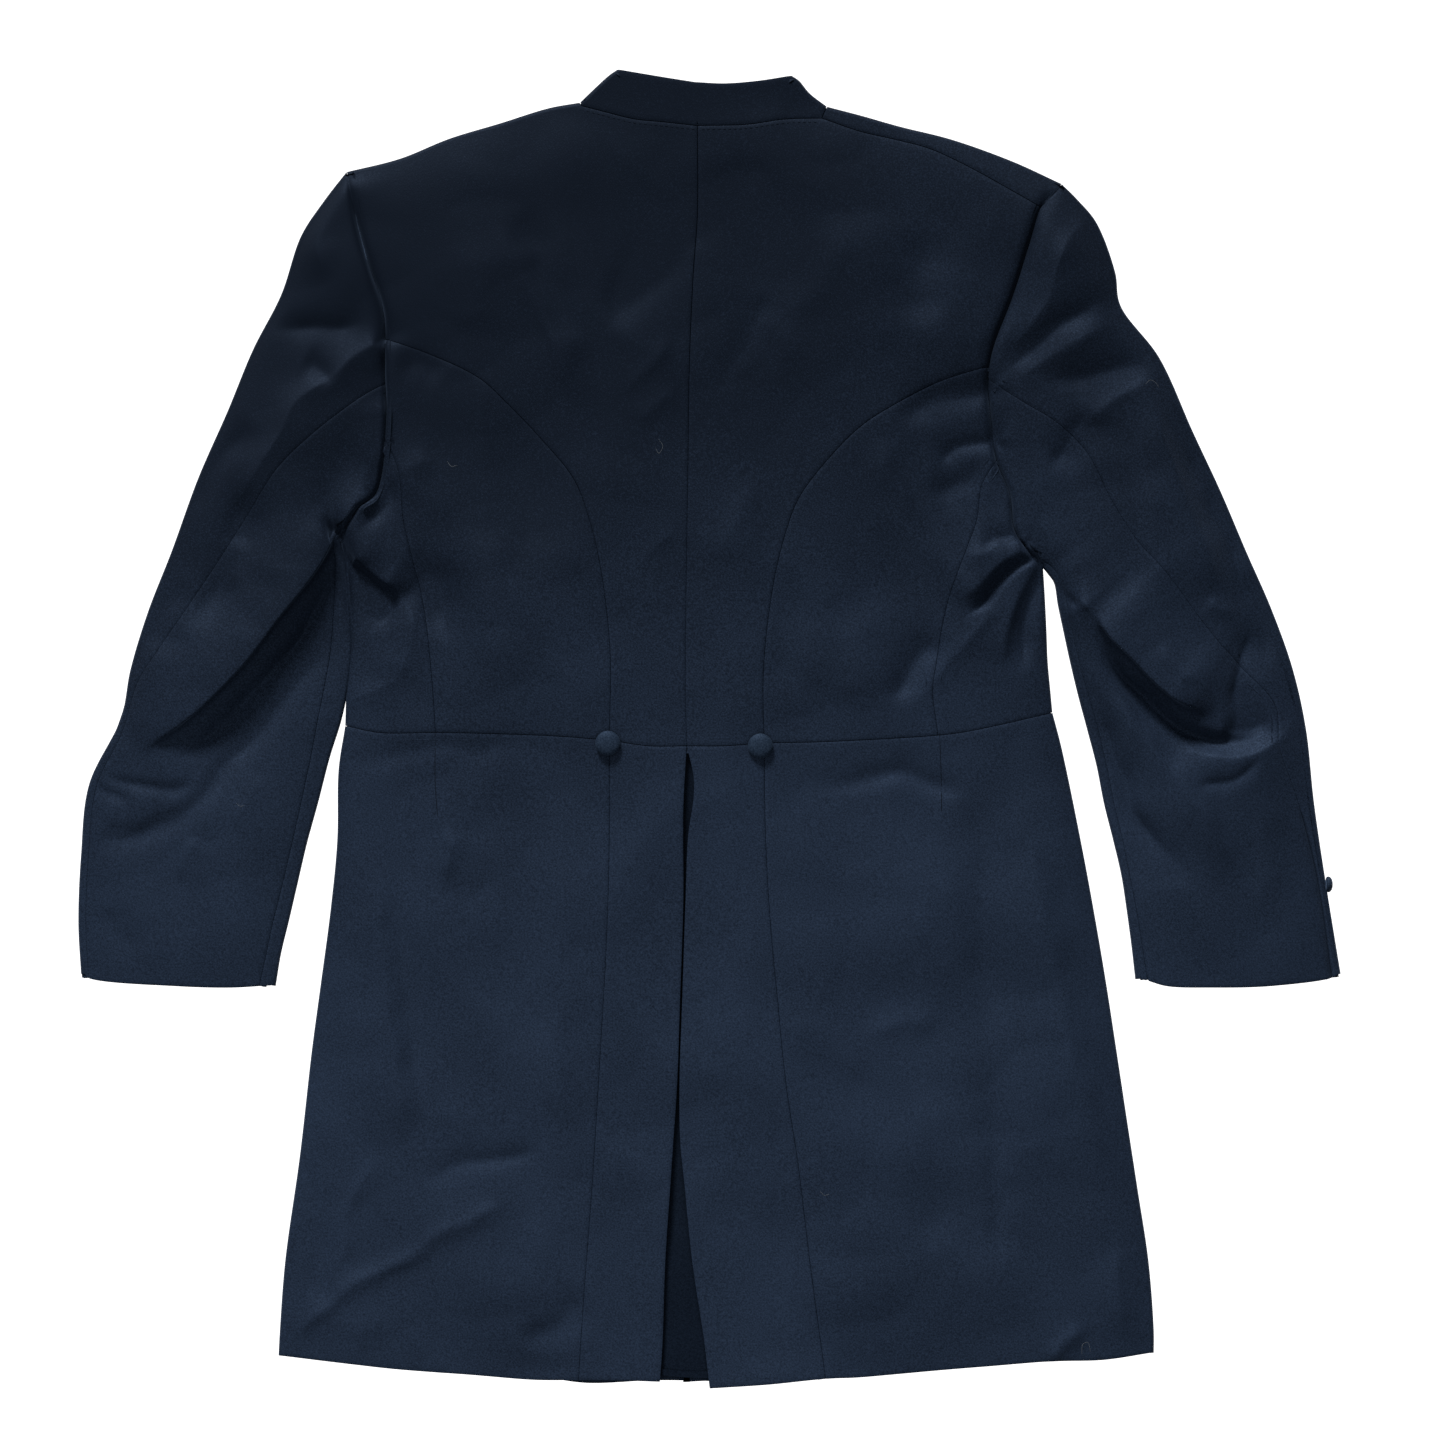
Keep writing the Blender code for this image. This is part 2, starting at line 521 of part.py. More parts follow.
def upper_seams(side, rolled):
    """The seams of the upper layer, each cut into its steps once, for both pieces that meet at it."""
    shoulder_point, armpit = inset(rolled.shoulder)[-1], inset(rolled.sleeve_inner)[0]
    line = SimpleNamespace()
    stops = [side.princess_at, side.hind_at, side.second_at, side.fore_at]
    if side.sign > 0:
        line.over_shoulder = None
        parts = stretches([shoulder_point, *side.armhole, armpit], stops, ARMHOLE_STEPS)
        line.to_hind_all = join(*parts[:2])
    else:
        seam_end = side.shoulder_seam[-1]
        line.over_shoulder, *parts = stretches(
            [shoulder_point, *side.armhole, armpit], [seam_end, *stops], (1, *ARMHOLE_STEPS))
        line.to_hind_all = join(line.over_shoulder, *parts[:2])
    line.to_princess, line.to_hind, line.to_second, line.to_fore, line.to_armpit = parts

    line.princess = curve([line.to_princess[-1], *side.princess[1:]], PRINCESS_STEPS)
    line.second = curve([line.to_second[-1], *side.second[1:]], PRINCESS_STEPS)
    line.centre_back = curve(CENTRE_BACK, PRINCESS_STEPS + len(line.to_princess) - 1)
    line.skirt_princess = curve([line.princess[-1], *side.skirt_princess[1:]], SKIRT_STEPS)
    line.vent = curve([line.centre_back[-1], *side.vent[1:]], SKIRT_STEPS)

    flap_steps = len(line.to_fore) + len(line.to_armpit) - 2
    side_steps = len(line.to_hind) + len(line.to_second) - 2
    back_steps = NECK_STEPS + SHOULDER_STEPS
    line.waist_flap, line.waist_side, line.waist_back = meet(
        stretches([inset(rolled.skirt)[0], *side.waist], [line.second[-1], line.princess[-1]],
                  [flap_steps, side_steps, back_steps]),
        [line.second[-1], line.princess[-1], line.centre_back[-1]])
    line.hem_side, line.hem_back = meet(
        stretches([inset(rolled.skirt)[-1], *side.hem], [line.skirt_princess[-1]],
                  [flap_steps + side_steps, back_steps]),
        [line.skirt_princess[-1], line.vent[-1]])

    line.hind = smooth_line([line.to_hind[-1], *[row.hind for row in side.sections[1:]]], SECTION_STEPS)
    line.fore = smooth_line([line.to_fore[-1], *[row.fore for row in side.sections[1:]]], SECTION_STEPS)
    cuff_ends = inset(rolled.sleeve_outer)[-1], inset(rolled.sleeve_inner)[-1]
    steps = [len(line.to_hind_all) - 1, len(line.to_second) + len(line.to_fore) - 2, len(line.to_armpit) - 1]
    line.cuff_parts = meet(
        stretches([cuff_ends[0], *side.cuff[:-1], cuff_ends[1]], [line.hind[-1], line.fore[-1]], steps),
        [line.hind[-1], line.fore[-1], cuff_ends[1]])
    return line


def lower_seams(side, rolled, line):
    """The seams of the lower layer, added to those of the upper one."""
    shoulder_point, armpit = inset(rolled.shoulder)[-1], inset(rolled.sleeve_inner)[0]
    neck_point = inset(rolled.shoulder)[0]
    line.shoulder_seam = curve(side.shoulder_seam, SHOULDER_STEPS)
    under_armhole = [shoulder_point, *side.under_armhole, armpit]
    if side.sign > 0:
        over, line.under_armhole = stretches(
            under_armhole, [line.shoulder_seam[-1]], [1, UNDER_ARMHOLE_STEPS])
        line.shoulder_seam[-1] = over[-1]
        line.under_armhole_all = join(over, line.under_armhole)
        line.neck = curve([neck_point, *side.neck], NECK_STEPS)
        under_neck_start = line.shoulder_seam[0]
    else:
        line.under_armhole_all = line.under_armhole = curve(under_armhole, UNDER_ARMHOLE_STEPS + 1)
        line.shoulder_seam[-1] = line.over_shoulder[-1]
        line.neck = curve([line.shoulder_seam[0], *side.neck], NECK_STEPS)
        under_neck_start = neck_point
    line.neck_point = neck_point
    line.under_neck, line.neck_lap = stretches(
        [under_neck_start, *side.under_neck], [side.under_neck[-2]], [NECK_STEPS - 1, 1])
    back_steps = NECK_STEPS + SHOULDER_STEPS
    line.under_waist = curve([inset(rolled.skirt)[0], *side.under_waist], back_steps)
    line.under_hem = curve([inset(rolled.skirt)[-1], *side.under_hem], back_steps)
    return line


def build_bodice(side, rolled, line, edges):
    """Back, side body and front. The front goes round the side, and one of them round the shoulder."""
    rise = None if side.sign > 0 else lap
    shoulder = inset(rolled.shoulder)
    back_shoulder, front_shoulder = (
        (shoulder, line.shoulder_seam) if side.sign > 0 else (line.shoulder_seam, shoulder))
    back = coons(low=np.flip(line.waist_back, 0), high=join(np.flip(line.neck, 0), back_shoulder),
                 left=np.flip(line.centre_back, 0), right=np.flip(join(line.to_princess, line.princess), 0))
    side_body = coons(low=line.waist_side, high=np.flip(join(line.to_hind, line.to_second), 0),
                      left=np.flip(line.second, 0), right=np.flip(line.princess, 0))
    flap = coons(low=line.waist_flap, high=np.flip(join(line.to_fore, line.to_armpit), 0),
                 left=np.flip(inset(rolled.bodice), 0), right=np.flip(line.second, 0))
    rows = PRINCESS_STEPS + len(line.under_armhole) - 1
    front = coons(low=line.under_waist, high=join(np.flip(front_shoulder, 0), line.under_neck, line.neck_lap),
                  left=np.flip(join(line.under_armhole, inset(rolled.bodice)), 0),
                  right=straight(line.under_waist[-1], line.neck_lap[-1], rows))
    wrap = np.stack([shoulder, line.shoulder_seam])
    pieces = {
        "back": [upper(back, edges)],
        "side_body": [upper(side_body, edges)],
        "front": [upper(flap, edges), bend(rolled.bodice, edges, rise), lower(front, rise)],
    }
    if side.sign > 0:
        pieces["back"] += [bend(rolled.shoulder, edges), lower(wrap)]
    else:
        pieces["front"] += [bend(rolled.shoulder, edges), upper(wrap, edges)]
    return pieces


def build_skirt(side, rolled, line, edges):
    """The strip beside the vent, and the skirt, which goes round the side to the centre front."""
    rise = None if side.sign > 0 else lap
    strip = coons(low=line.hem_back, high=line.waist_back,
                  left=np.flip(line.skirt_princess, 0), right=np.flip(line.vent, 0))
    skirt = coons(low=line.hem_side, high=join(line.waist_flap, line.waist_side),
                  left=np.flip(inset(rolled.skirt), 0), right=np.flip(line.skirt_princess, 0))
    under = coons(low=line.under_hem, high=line.under_waist, left=np.flip(inset(rolled.skirt), 0),
                  right=straight(line.under_hem[-1], line.under_waist[-1], SKIRT_STEPS))
    return {
        "skirt_back": [upper(strip, edges)],
        "skirt": [upper(skirt, edges), bend(rolled.skirt, edges, rise), lower(under, rise)],
    }


def build_sleeve(rolled, line, edges):
    """The under sleeve, which shows on top, and the top sleeve, which goes round both edges."""
    outer, inner = inset(rolled.sleeve_outer), inset(rolled.sleeve_inner)
    cuff_outer, cuff_middle, cuff_inner = line.cuff_parts
    outer_strip = coons(low=line.to_hind_all, high=cuff_outer, left=outer, right=line.hind)
    under_sleeve = coons(low=join(line.to_second, line.to_fore), high=cuff_middle,
                         left=line.hind, right=line.fore)
    inner_strip = coons(low=line.to_armpit, high=cuff_inner, left=line.fore, right=inner)
    cuff = evenly(join(*line.cuff_parts), len(line.under_armhole_all) - 1)
    below = coons(low=line.under_armhole_all, high=cuff, left=outer, right=inner)
    return {
        "under_sleeve": [upper(under_sleeve, edges)],
        "top_sleeve": [upper(outer_strip, edges), bend(rolled.sleeve_outer, edges), lower(below),
                       bend(rolled.sleeve_inner, edges), upper(inner_strip, edges)],
    }


def build_collar(side, rolled, line, edges):
    """One half of the stand collar: its back on top, its rolled end, and its front underneath."""
    rise = None if side.sign > 0 else lap
    corner = inset(rolled.collar)[0]
    over_seam = np.array([line.neck_point, line.shoulder_seam[0]])
    back_base = line.neck if side.sign > 0 else join(over_seam, line.neck)
    front_base = join(over_seam, line.under_neck) if side.sign > 0 else line.under_neck
    patches = []
    for base, top, lay in ((back_base, side.collar_top, upper), (front_base, side.under_collar_top, lower)):
        top_line = curve([corner, *top], len(base) - 1)
        plan = coons(low=top_line, high=base, left=inset(rolled.collar),
                     right=straight(top_line[-1], base[-1], COLLAR_STEPS))
        patches.append(lay(plan, edges if lay is upper else rise))
    return [*patches, bend(rolled.collar, edges, rise)]


def build_underlay(parent, collection):
    """The cloth behind the vent. It lies on the fronts and reaches under both strips."""
    left, right = curve(UNDERLAY_LEFT, SKIRT_STEPS), curve(UNDERLAY_RIGHT, SKIRT_STEPS)
    low, high = curve(UNDERLAY_TOP, UNDERLAY_COLUMNS), curve(UNDERLAY_HEM, UNDERLAY_COLUMNS)
    left[-1], right[-1] = high[0], high[-1]
    plan = coons(low=low, high=high, left=left, right=right)
    patch = lower(plan, lambda x: 0 * x + UNDERLAY_HEIGHT)
    return sew("vent_underlay", [patch], NAVY, parent, collection)


def build_button(name, place, radius, tall, tilt, parent, collection):
    """A cloth covered button: a low dome turned about its axis, with a short shank beneath."""
    dome = [(across * radius, SHANK_LENGTH + up * tall) for across, up in BUTTON_DOME]
    shank = [(SHANK_RADIUS, SHANK_LENGTH), (SHANK_RADIUS, 0), (0, 0)]
    points = [(across * MM, 0, up * MM) for across, up in dome + shank]
    data = bpy.data.meshes.new(name)
    data.from_pydata(points, [(i, i + 1) for i in range(len(points) - 1)], [])
    piece = add_piece(name, data, BUTTON_NAVY, parent, collection)
    turned = piece.modifiers.new("turned", "SCREW")
    turned.steps = turned.render_steps = BUTTON_SIDES
    turned.use_merge_vertices = True
    turned.merge_threshold = 0.00005
    turned.use_normal_calculate = True
    piece.location = [c * MM for c in place]
    piece.rotation_euler = tilt
    return piece


def main():
    for old in list(bpy.data.objects):
        bpy.data.objects.remove(old)
    collection = bpy.data.collections.new("frock_coat")
    bpy.context.scene.collection.children.link(collection)
    coat = bpy.data.objects.new("frock_coat", None)
    collection.objects.link(coat)

    halves = {"left": LEFT, "right": RIGHT}
    rolled = {name: rolled_edges(side) for name, side in halves.items()}
    edges = [edge for lines in rolled.values() for edge in vars(lines).values()]
    collar = []
    for name, side in halves.items():
        own = rolled[name]
        line = lower_seams(side, own, upper_seams(side, own))
        collar += build_collar(side, own, line, edges)
        pieces = {**build_bodice(side, own, line, edges), **build_skirt(side, own, line, edges),
                  **build_sleeve(own, line, edges)}
        for piece, patches in pieces.items():
            sew(f"{piece}_{name}", patches, NAVY, coat, collection)
    sew("collar", collar, NAVY, coat, collection)
    build_underlay(coat, collection)

    for name, (x, y) in WAIST_BUTTONS.items():
        seat = float(height(np.array([[x, y]], float), edges)[0]) + SEAM_GAP
        build_button(f"waist_button_{name}", (x, y, seat), WAIST_BUTTON_RADIUS, WAIST_BUTTON_HEIGHT,
                     (0, 0, 0), coat, collection)
    build_button("cuff_button_right", CUFF_BUTTON_PLACE, CUFF_BUTTON_RADIUS, CUFF_BUTTON_HEIGHT,
                 CUFF_BUTTON_TILT, coat, collection)


main()
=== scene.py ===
# %% [markdown]
# # A frock coat, laid out face down
# A tailor's coat is a set of flat cloth pieces, and the seams between them give it its form. This
# scene makes the same pieces again, several times finer than the imported solids, and lays every
# crease, seam, stitch and thread on them. Nothing is simulated: creases that lie still are easier to
# place one by one, because then each one falls where the real one falls.

import math
from collections import namedtuple
from types import SimpleNamespace

import bpy
import numpy as np
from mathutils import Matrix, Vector


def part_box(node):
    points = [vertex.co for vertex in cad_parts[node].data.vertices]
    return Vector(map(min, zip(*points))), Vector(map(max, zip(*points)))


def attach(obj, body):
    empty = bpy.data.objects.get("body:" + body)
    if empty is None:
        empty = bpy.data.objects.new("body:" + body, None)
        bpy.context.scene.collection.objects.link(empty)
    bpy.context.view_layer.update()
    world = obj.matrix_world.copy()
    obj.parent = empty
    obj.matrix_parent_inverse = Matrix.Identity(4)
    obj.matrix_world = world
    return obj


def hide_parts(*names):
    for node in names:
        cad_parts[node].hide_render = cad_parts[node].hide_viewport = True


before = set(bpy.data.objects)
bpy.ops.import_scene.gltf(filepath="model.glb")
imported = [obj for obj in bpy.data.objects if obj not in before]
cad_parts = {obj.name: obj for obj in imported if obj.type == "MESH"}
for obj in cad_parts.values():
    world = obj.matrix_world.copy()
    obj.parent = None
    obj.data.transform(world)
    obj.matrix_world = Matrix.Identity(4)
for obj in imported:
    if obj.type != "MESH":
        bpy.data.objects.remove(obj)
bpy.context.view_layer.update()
scene = bpy.context.scene

# %% [markdown]
# ## Where the camera stands
# The coat is photographed from straight above. A long lens far away keeps the sleeves, which lie
# half a metre from the middle, from showing their sides. One picture element is 0.75 mm of cloth,
# so the width of the picture and the camera's height give the lens.

# %% Camera
MM = 0.001
PICTURE = 1445  # picture elements across
PIXEL = 0.75  # millimetres of cloth in each
MIDDLE = (709.5, 728.5)  # the picture element over the middle of the coat
CAMERA_HEIGHT = 4.0
SENSOR = 36.0


def from_picture(points):
    """Millimetres on the cloth from places in the photograph."""
    return [((x - MIDDLE[0]) * PIXEL, (MIDDLE[1] - y) * PIXEL) for x, y in points]


camera_data = bpy.data.cameras.new("camera")
camera_data.sensor_width = SENSOR
camera_data.lens = SENSOR * CAMERA_HEIGHT / (PICTURE * PIXEL * MM)
camera = bpy.data.objects.new("camera", camera_data)
scene.collection.objects.link(camera)
(camera_x, camera_y), = from_picture([(PICTURE / 2, PICTURE / 2)])
camera.location = (camera_x * MM, camera_y * MM, CAMERA_HEIGHT)
scene.camera = camera
print("lens:", round(camera_data.lens, 1), "mm")

# %% [markdown]
# ## The floor and the light
# Dark wool shows its form only through the light that rakes over it, so the light matters more than
# the colour. A soft low window beyond the collar draws the folds, and a lamp above the skirt makes
# the lower half lighter. The floor has a lamp of its own, so that it stays clean and pale without
# glare on the wool. Light linking tells each lamp what it lights.

# %% Floor
FLOOR = 9.0
FLOOR_DROP = 0.0004  # the floor is just under the cloth, so that the two never share a face
FLOOR_COLOUR = (0.93, 0.93, 0.93, 1.0)
FLOOR_ROUGHNESS = 0.9

coat = bpy.data.collections.new("coat")
stage = bpy.data.collections.new("stage")
scene.collection.children.link(coat)
scene.collection.children.link(stage)
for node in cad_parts.values():
    coat.objects.link(node)


def plain_material(name, colour, roughness):
    material = bpy.data.materials.new(name)
    material.use_nodes = True
    shader = material.node_tree.nodes["Principled BSDF"]
    shader.inputs["Base Color"].default_value = colour
    shader.inputs["Roughness"].default_value = roughness
    return material


def mesh_object(name, points, faces, material, collection):
    """An object in one material, from points in metres."""
    data = bpy.data.meshes.new(name)
    data.from_pydata(points, [], faces)
    data.materials.append(material)
    made = bpy.data.objects.new(name, data)
    collection.objects.link(made)
    return made


half = FLOOR / 2
floor = mesh_object("floor", [(-half, -half, 0), (half, -half, 0), (half, half, 0), (-half, half, 0)],
                    [(0, 1, 2, 3)], plain_material("pale_floor", FLOOR_COLOUR, FLOOR_ROUGHNESS), stage)
floor.location.z = -FLOOR_DROP
print("floor:", FLOOR, "m across")

# %% Lamps and sky
SKY = 0.09
SKY_COLOUR = (1.0, 1.0, 1.0, 1.0)
WINDOW_FROM, WINDOW_HEIGHT = 104.0, 27.0  # where the window is, in degrees round the coat and above it
WINDOW_STRENGTH, WINDOW_WIDTH = 9.2, 14.0
WINDOW_AWAY = 2.0
SKIRT_LAMP = (-0.16, -0.30, 0.75)
SKIRT_LAMP_SIZE, SKIRT_LAMP_POWER = 1.0, 7.4
FLOOR_LAMP = (0, 0, 3)
FLOOR_STRENGTH = 4.5


def add_lamp(name, kind, place, lights, **values):
    """A lamp that points at the coat, and lights one collection only."""
    data = bpy.data.lights.new(name, kind)
    for key, value in values.items():
        setattr(data, key, value)
    lamp = bpy.data.objects.new(name, data)
    lamp.location = place
    lamp.rotation_euler = (-lamp.location).to_track_quat("-Z", "Y").to_euler()
    lamp.light_linking.receiver_collection = lights
    scene.collection.objects.link(lamp)
    return lamp


turn, tilt = math.radians(WINDOW_FROM), math.radians(WINDOW_HEIGHT)
toward_window = (math.cos(turn) * math.cos(tilt), math.sin(turn) * math.cos(tilt), math.sin(tilt))
add_lamp("window", "SUN", [WINDOW_AWAY * part for part in toward_window], coat,
         energy=WINDOW_STRENGTH, angle=math.radians(WINDOW_WIDTH))
skirt_lamp = add_lamp("skirt_lamp", "AREA", SKIRT_LAMP, coat, energy=SKIRT_LAMP_POWER, size=SKIRT_LAMP_SIZE)
skirt_lamp.rotation_euler = (0, 0, 0)  # this one hangs level and shines straight down
floor_lamp = add_lamp("floor_lamp", "SUN", FLOOR_LAMP, stage, energy=FLOOR_STRENGTH)
floor_lamp.light_linking.blocker_collection = stage

world = bpy.data.worlds.new("studio")
scene.world = world
world.use_nodes = True
world.node_tree.nodes["Background"].inputs["Color"].default_value = SKY_COLOUR
world.node_tree.nodes["Background"].inputs["Strength"].default_value = SKY
scene.view_settings.view_transform = "Standard"

# %% [markdown]
# ## The cut of the coat
# These tables are the pattern. Each line is a seam or an edge as it lies on the floor, in
# millimetres from the middle of the coat, and each row of a sleeve is one section across it. The
# solids were built from the same lines, so every piece of cloth lies where its solid lies. Only two
# points at the left armpit are moved a little, so that the tuck there lies clean, and the number of
# faces along each line is larger.

# %% The pattern
Section = namedtuple("Section", "outer hind fore inner")
Edge = namedtuple("Edge", "points inward")
Side = namedtuple(
    "Side",
    "sign collar_edge shoulder_edge sections armhole hind_at princess_at second_at fore_at "
    "under_armhole bodice_edge skirt_edge princess second waist under_waist skirt_princess vent "
    "cuff hem under_hem shoulder_seam neck under_neck collar_top under_collar_top",
)
# The centre back seam, from the collar down to the waist
CENTRE_BACK = [(-9, 451), (-9, 385), (-12, 342), (-15, 273), (-16, 203), (-18, 36), (-17, -13)]

# The left half. Seams and edges run from the neck or the shoulder downwards and outwards.
LEFT = Side(
    sign=1,
    collar_edge=[(-69, 493.5), (-75, 489.5), (-85, 480.5), (-97, 469)],
    shoulder_edge=[(-97, 469), (-120, 465), (-157, 453.5), (-195, 442), (-232, 427), (-272, 417)],
    sections=[Section(*row) for row in [  # outer, hind, fore and inner point
        ((-272, 417), (-243, 258), (-271, 153), (-276, 141)),
        ((-289, 395), (-257, 250), (-281, 142), (-273.5, 133)),
        ((-306, 369), (-270, 241), (-280, 126), (-271.5, 124)),
        ((-321, 325), (-297, 220), (-281, 106), (-269.5, 104)),
        ((-342, 284), (-322, 196), (-282, 84), (-268, 82)),
        ((-361, 238), (-346, 160), (-284, 59), (-267.5, 58)),
        ((-383, 188), (-369, 124), (-288, 34), (-270.5, 32)),
        ((-403, 133), (-392, 90), (-293, 8), (-275.5, 7)),
        ((-421, 87), (-413, 60), (-299, -24), (-284.5, -22)),
        ((-434, 44), (-428, 36), (-306, -57), (-293, -55)),
        ((-441, 8), (-440, -3), (-313, -88), (-301.5, -86)),
        ((-465, -42), (-459, -43), (-320, -118), (-308.5, -116)),
        ((-471, -95), (-465, -95), (-327, -146), (-315, -144)),
        ((-473, -145), (-467, -145), (-332, -170), (-321, -169)),
        ((-471, -184), (-465, -187), (-337, -193), (-325, -193)),
    ]],
    armhole=[
        (-264, 380), (-254, 344), (-244, 312), (-243, 267), (-242, 231), (-250, 176), (-262, 166),
    ],
    princess_at=(-243, 291),
    hind_at=(-243, 258),
    second_at=(-241, 218),
    fore_at=(-271, 153),
    under_armhole=[(-252, 345), (-238, 280), (-238, 225), (-252, 175)],
    bodice_edge=[(-276, 141), (-274, 125), (-272, 97), (-269, 66), (-272, 30), (-273, 2)],
    skirt_edge=[
        (-273, 2), (-278, -31), (-279, -84), (-284, -136), (-291, -189),
        (-298, -241), (-307, -320), (-318, -399), (-322, -451), (-323, -470),
    ],
    princess=[
        (-243, 291), (-207, 279), (-172, 262), (-153, 245), (-127, 218),
        (-101, 186), (-90, 157), (-84, 134), (-78, 98), (-74, 51), (-75, -9),
    ],
    second=[(-241, 218), (-233, 194), (-229, 156), (-221, 123), (-213, 85), (-208, 40), (-205, -3)],
    waist=[(-247, -3), (-205, -3), (-157, -4), (-110, -6), (-75, -9), (-45, -13), (-17, -13)],
    under_waist=[(-150, -8), (20, -12)],
    skirt_princess=[
        (-75, -9), (-75, -91), (-77, -160), (-82, -249), (-88, -346), (-94, -425), (-98, -488),
    ],
    vent=[
        (-17, -13), (-19.5, -60), (-19.5, -129), (-22, -204), (-24, -264), (-27, -309),
        (-29, -339), (-33, -399), (-35, -459), (-37, -489),
    ],
    cuff=[(-465, -187), (-397, -193), (-358, -194), (-337, -193), (-325, -193)],
    hem=[(-287, -474), (-234, -480), (-182, -484), (-131, -488), (-98, -488), (-69, -488), (-37, -489)],
    under_hem=[(-234, -479), (-130, -486), (-92, -491), (-40, -489), (20, -490)],
    shoulder_seam=[(-95, 457), (-120, 451), (-195, 430), (-232, 417), (-263, 406)],
    neck=[(-80, 462), (-56, 456), (-36, 454), (-9, 451)],
    under_neck=[(-75, 428), (-45, 403), (-1, 394), (20, 393)],
    collar_top=[(-36, 488), (-11, 484)],
    under_collar_top=[(-60, 466), (-36, 444), (-1, 434)],
)

# The right half, where the front comes over the shoulder and its seam shows on top
RIGHT = Side(
    sign=-1,
    collar_edge=[(61.5, 489), (67, 485.5), (75, 476), (88, 466)],
    shoulder_edge=[(88, 466), (113, 459.5), (143, 451), (181, 441.5), (227, 425), (264, 408)],
    sections=[Section(*row) for row in [  # outer, hind, fore and inner point
        ((264, 408), (209, 262), (243, 130), (250, 120)),
        ((276, 396), (221, 253), (257, 120), (254, 115)),
        ((290, 379), (235, 244), (264, 107), (258, 109)),
        ((304, 342), (261, 228), (268, 89), (261, 92)),
        ((308, 317), (282, 207), (272, 70), (265, 73)),
        ((337, 278), (301, 170), (277, 48), (270, 50)),
        ((362, 223), (320, 140), (284, 24), (276, 25)),
        ((383, 178), (343, 115), (291, 0), (283, -1)),
        ((403, 131), (368, 82), (297, -26), (290, -28)),
        ((421, 90), (397, 47), (303, -56), (295.5, -56)),
        ((437, 45), (423, 18), (310, -86), (302.5, -84)),
        ((447, 0), (427, -15), (315, -112), (308.5, -110)),
        ((453, -55), (441, -56), (320, -138), (312.5, -136)),
        ((461, -110), (455, -112), (324, -163), (316, -162)),
        ((473, -184), (466, -187), (328, -188), (319, -188)),
    ]],
    armhole=[
        (248, 390), (239, 363), (227, 325), (215, 294), (209, 271), (209, 253), (211, 231),
        (215, 201), (225, 175), (228, 150), (236, 136),
    ],
    princess_at=(209, 271),
    hind_at=(209, 262),
    second_at=(215, 201),
    fore_at=(243, 130),
    under_armhole=[(239, 345), (222, 280), (220, 225), (232, 165)],
    bodice_edge=[(250, 120), (251, 105), (252.5, 75), (253.5, 50), (255.5, 28), (257, 12)],
    skirt_edge=[
        (257, 12), (264, -15), (280, -93), (289, -142), (297, -189),
        (305, -241), (313, -294), (321, -346), (329, -399), (333, -451), (333, -468),
    ],
    princess=[
        (209, 271), (173, 260), (143, 245), (113, 226), (83, 195),
        (66, 171), (57, 147), (49, 115), (42, 66), (40, 30), (41, -11),
    ],
    second=[
        (215, 201), (204, 183), (200, 156), (192, 134), (181, 104), (175, 81), (170, 51), (167, 29),
        (171, -5),
    ],
    waist=[(218, 3), (188, -3), (171, -5), (143, -7), (83, -10), (41, -11), (10, -13), (-17, -13)],
    under_waist=[(150, -3), (-20, -12)],
    skirt_princess=[
        (41, -11), (42, -84), (46, -151), (51, -204), (57, -264), (66, -324), (76, -406), (87, -487),
    ],
    vent=[
        (-17, -13), (-12, -36), (-12, -52), (-16, -80), (-18, -129), (-20.5, -204), (-22.5, -264),
        (-22, -309), (-19, -339), (-13, -399), (-4, -459), (0, -494),
    ],
    cuff=[(466, -187), (419, -193), (375, -194), (342, -193), (328, -189), (319, -188)],
    hem=[(295, -473), (255, -474), (208, -478), (159, -482), (113, -486), (87, -487), (45, -491), (0, -494)],
    under_hem=[(255, -473), (150, -481), (-20, -490)],
    shoulder_seam=[(84, 457), (113, 447), (139, 441), (165, 434), (191, 422), (222, 405), (248, 390)],
    neck=[(57, 456), (29, 452), (-9, 451)],
    under_neck=[(72, 428), (42, 403), (1, 394), (-20, 393)],
    collar_top=[(36, 485), (11, 483), (-11, 484)],
    under_collar_top=[(53, 464), (34, 444), (1, 434)],
)
print("sections of a sleeve:", len(LEFT.sections), "and", len(RIGHT.sections))

# %% [markdown]
# ## How the upper cloth lies
# The coat is thin at its rolled edges and a little thicker inside, because two layers of wool never
# lie quite flat. On that swelling lie the folds. Each one is a line on the cloth with a height and a
# reach to each side, so a fold can fall off sharply on one side and run out slowly on the other.
# Lean is how far its crest hangs over. The large ones are in the solids too. All of them were read
# off the photograph, so their paths are places in it.

# %% Folds of the sleeves
Fold = namedtuple("Fold", "path rise left right lean held edge", defaults=(0, 0, 1.7))
Blob = namedtuple("Blob", "x y rise radius")
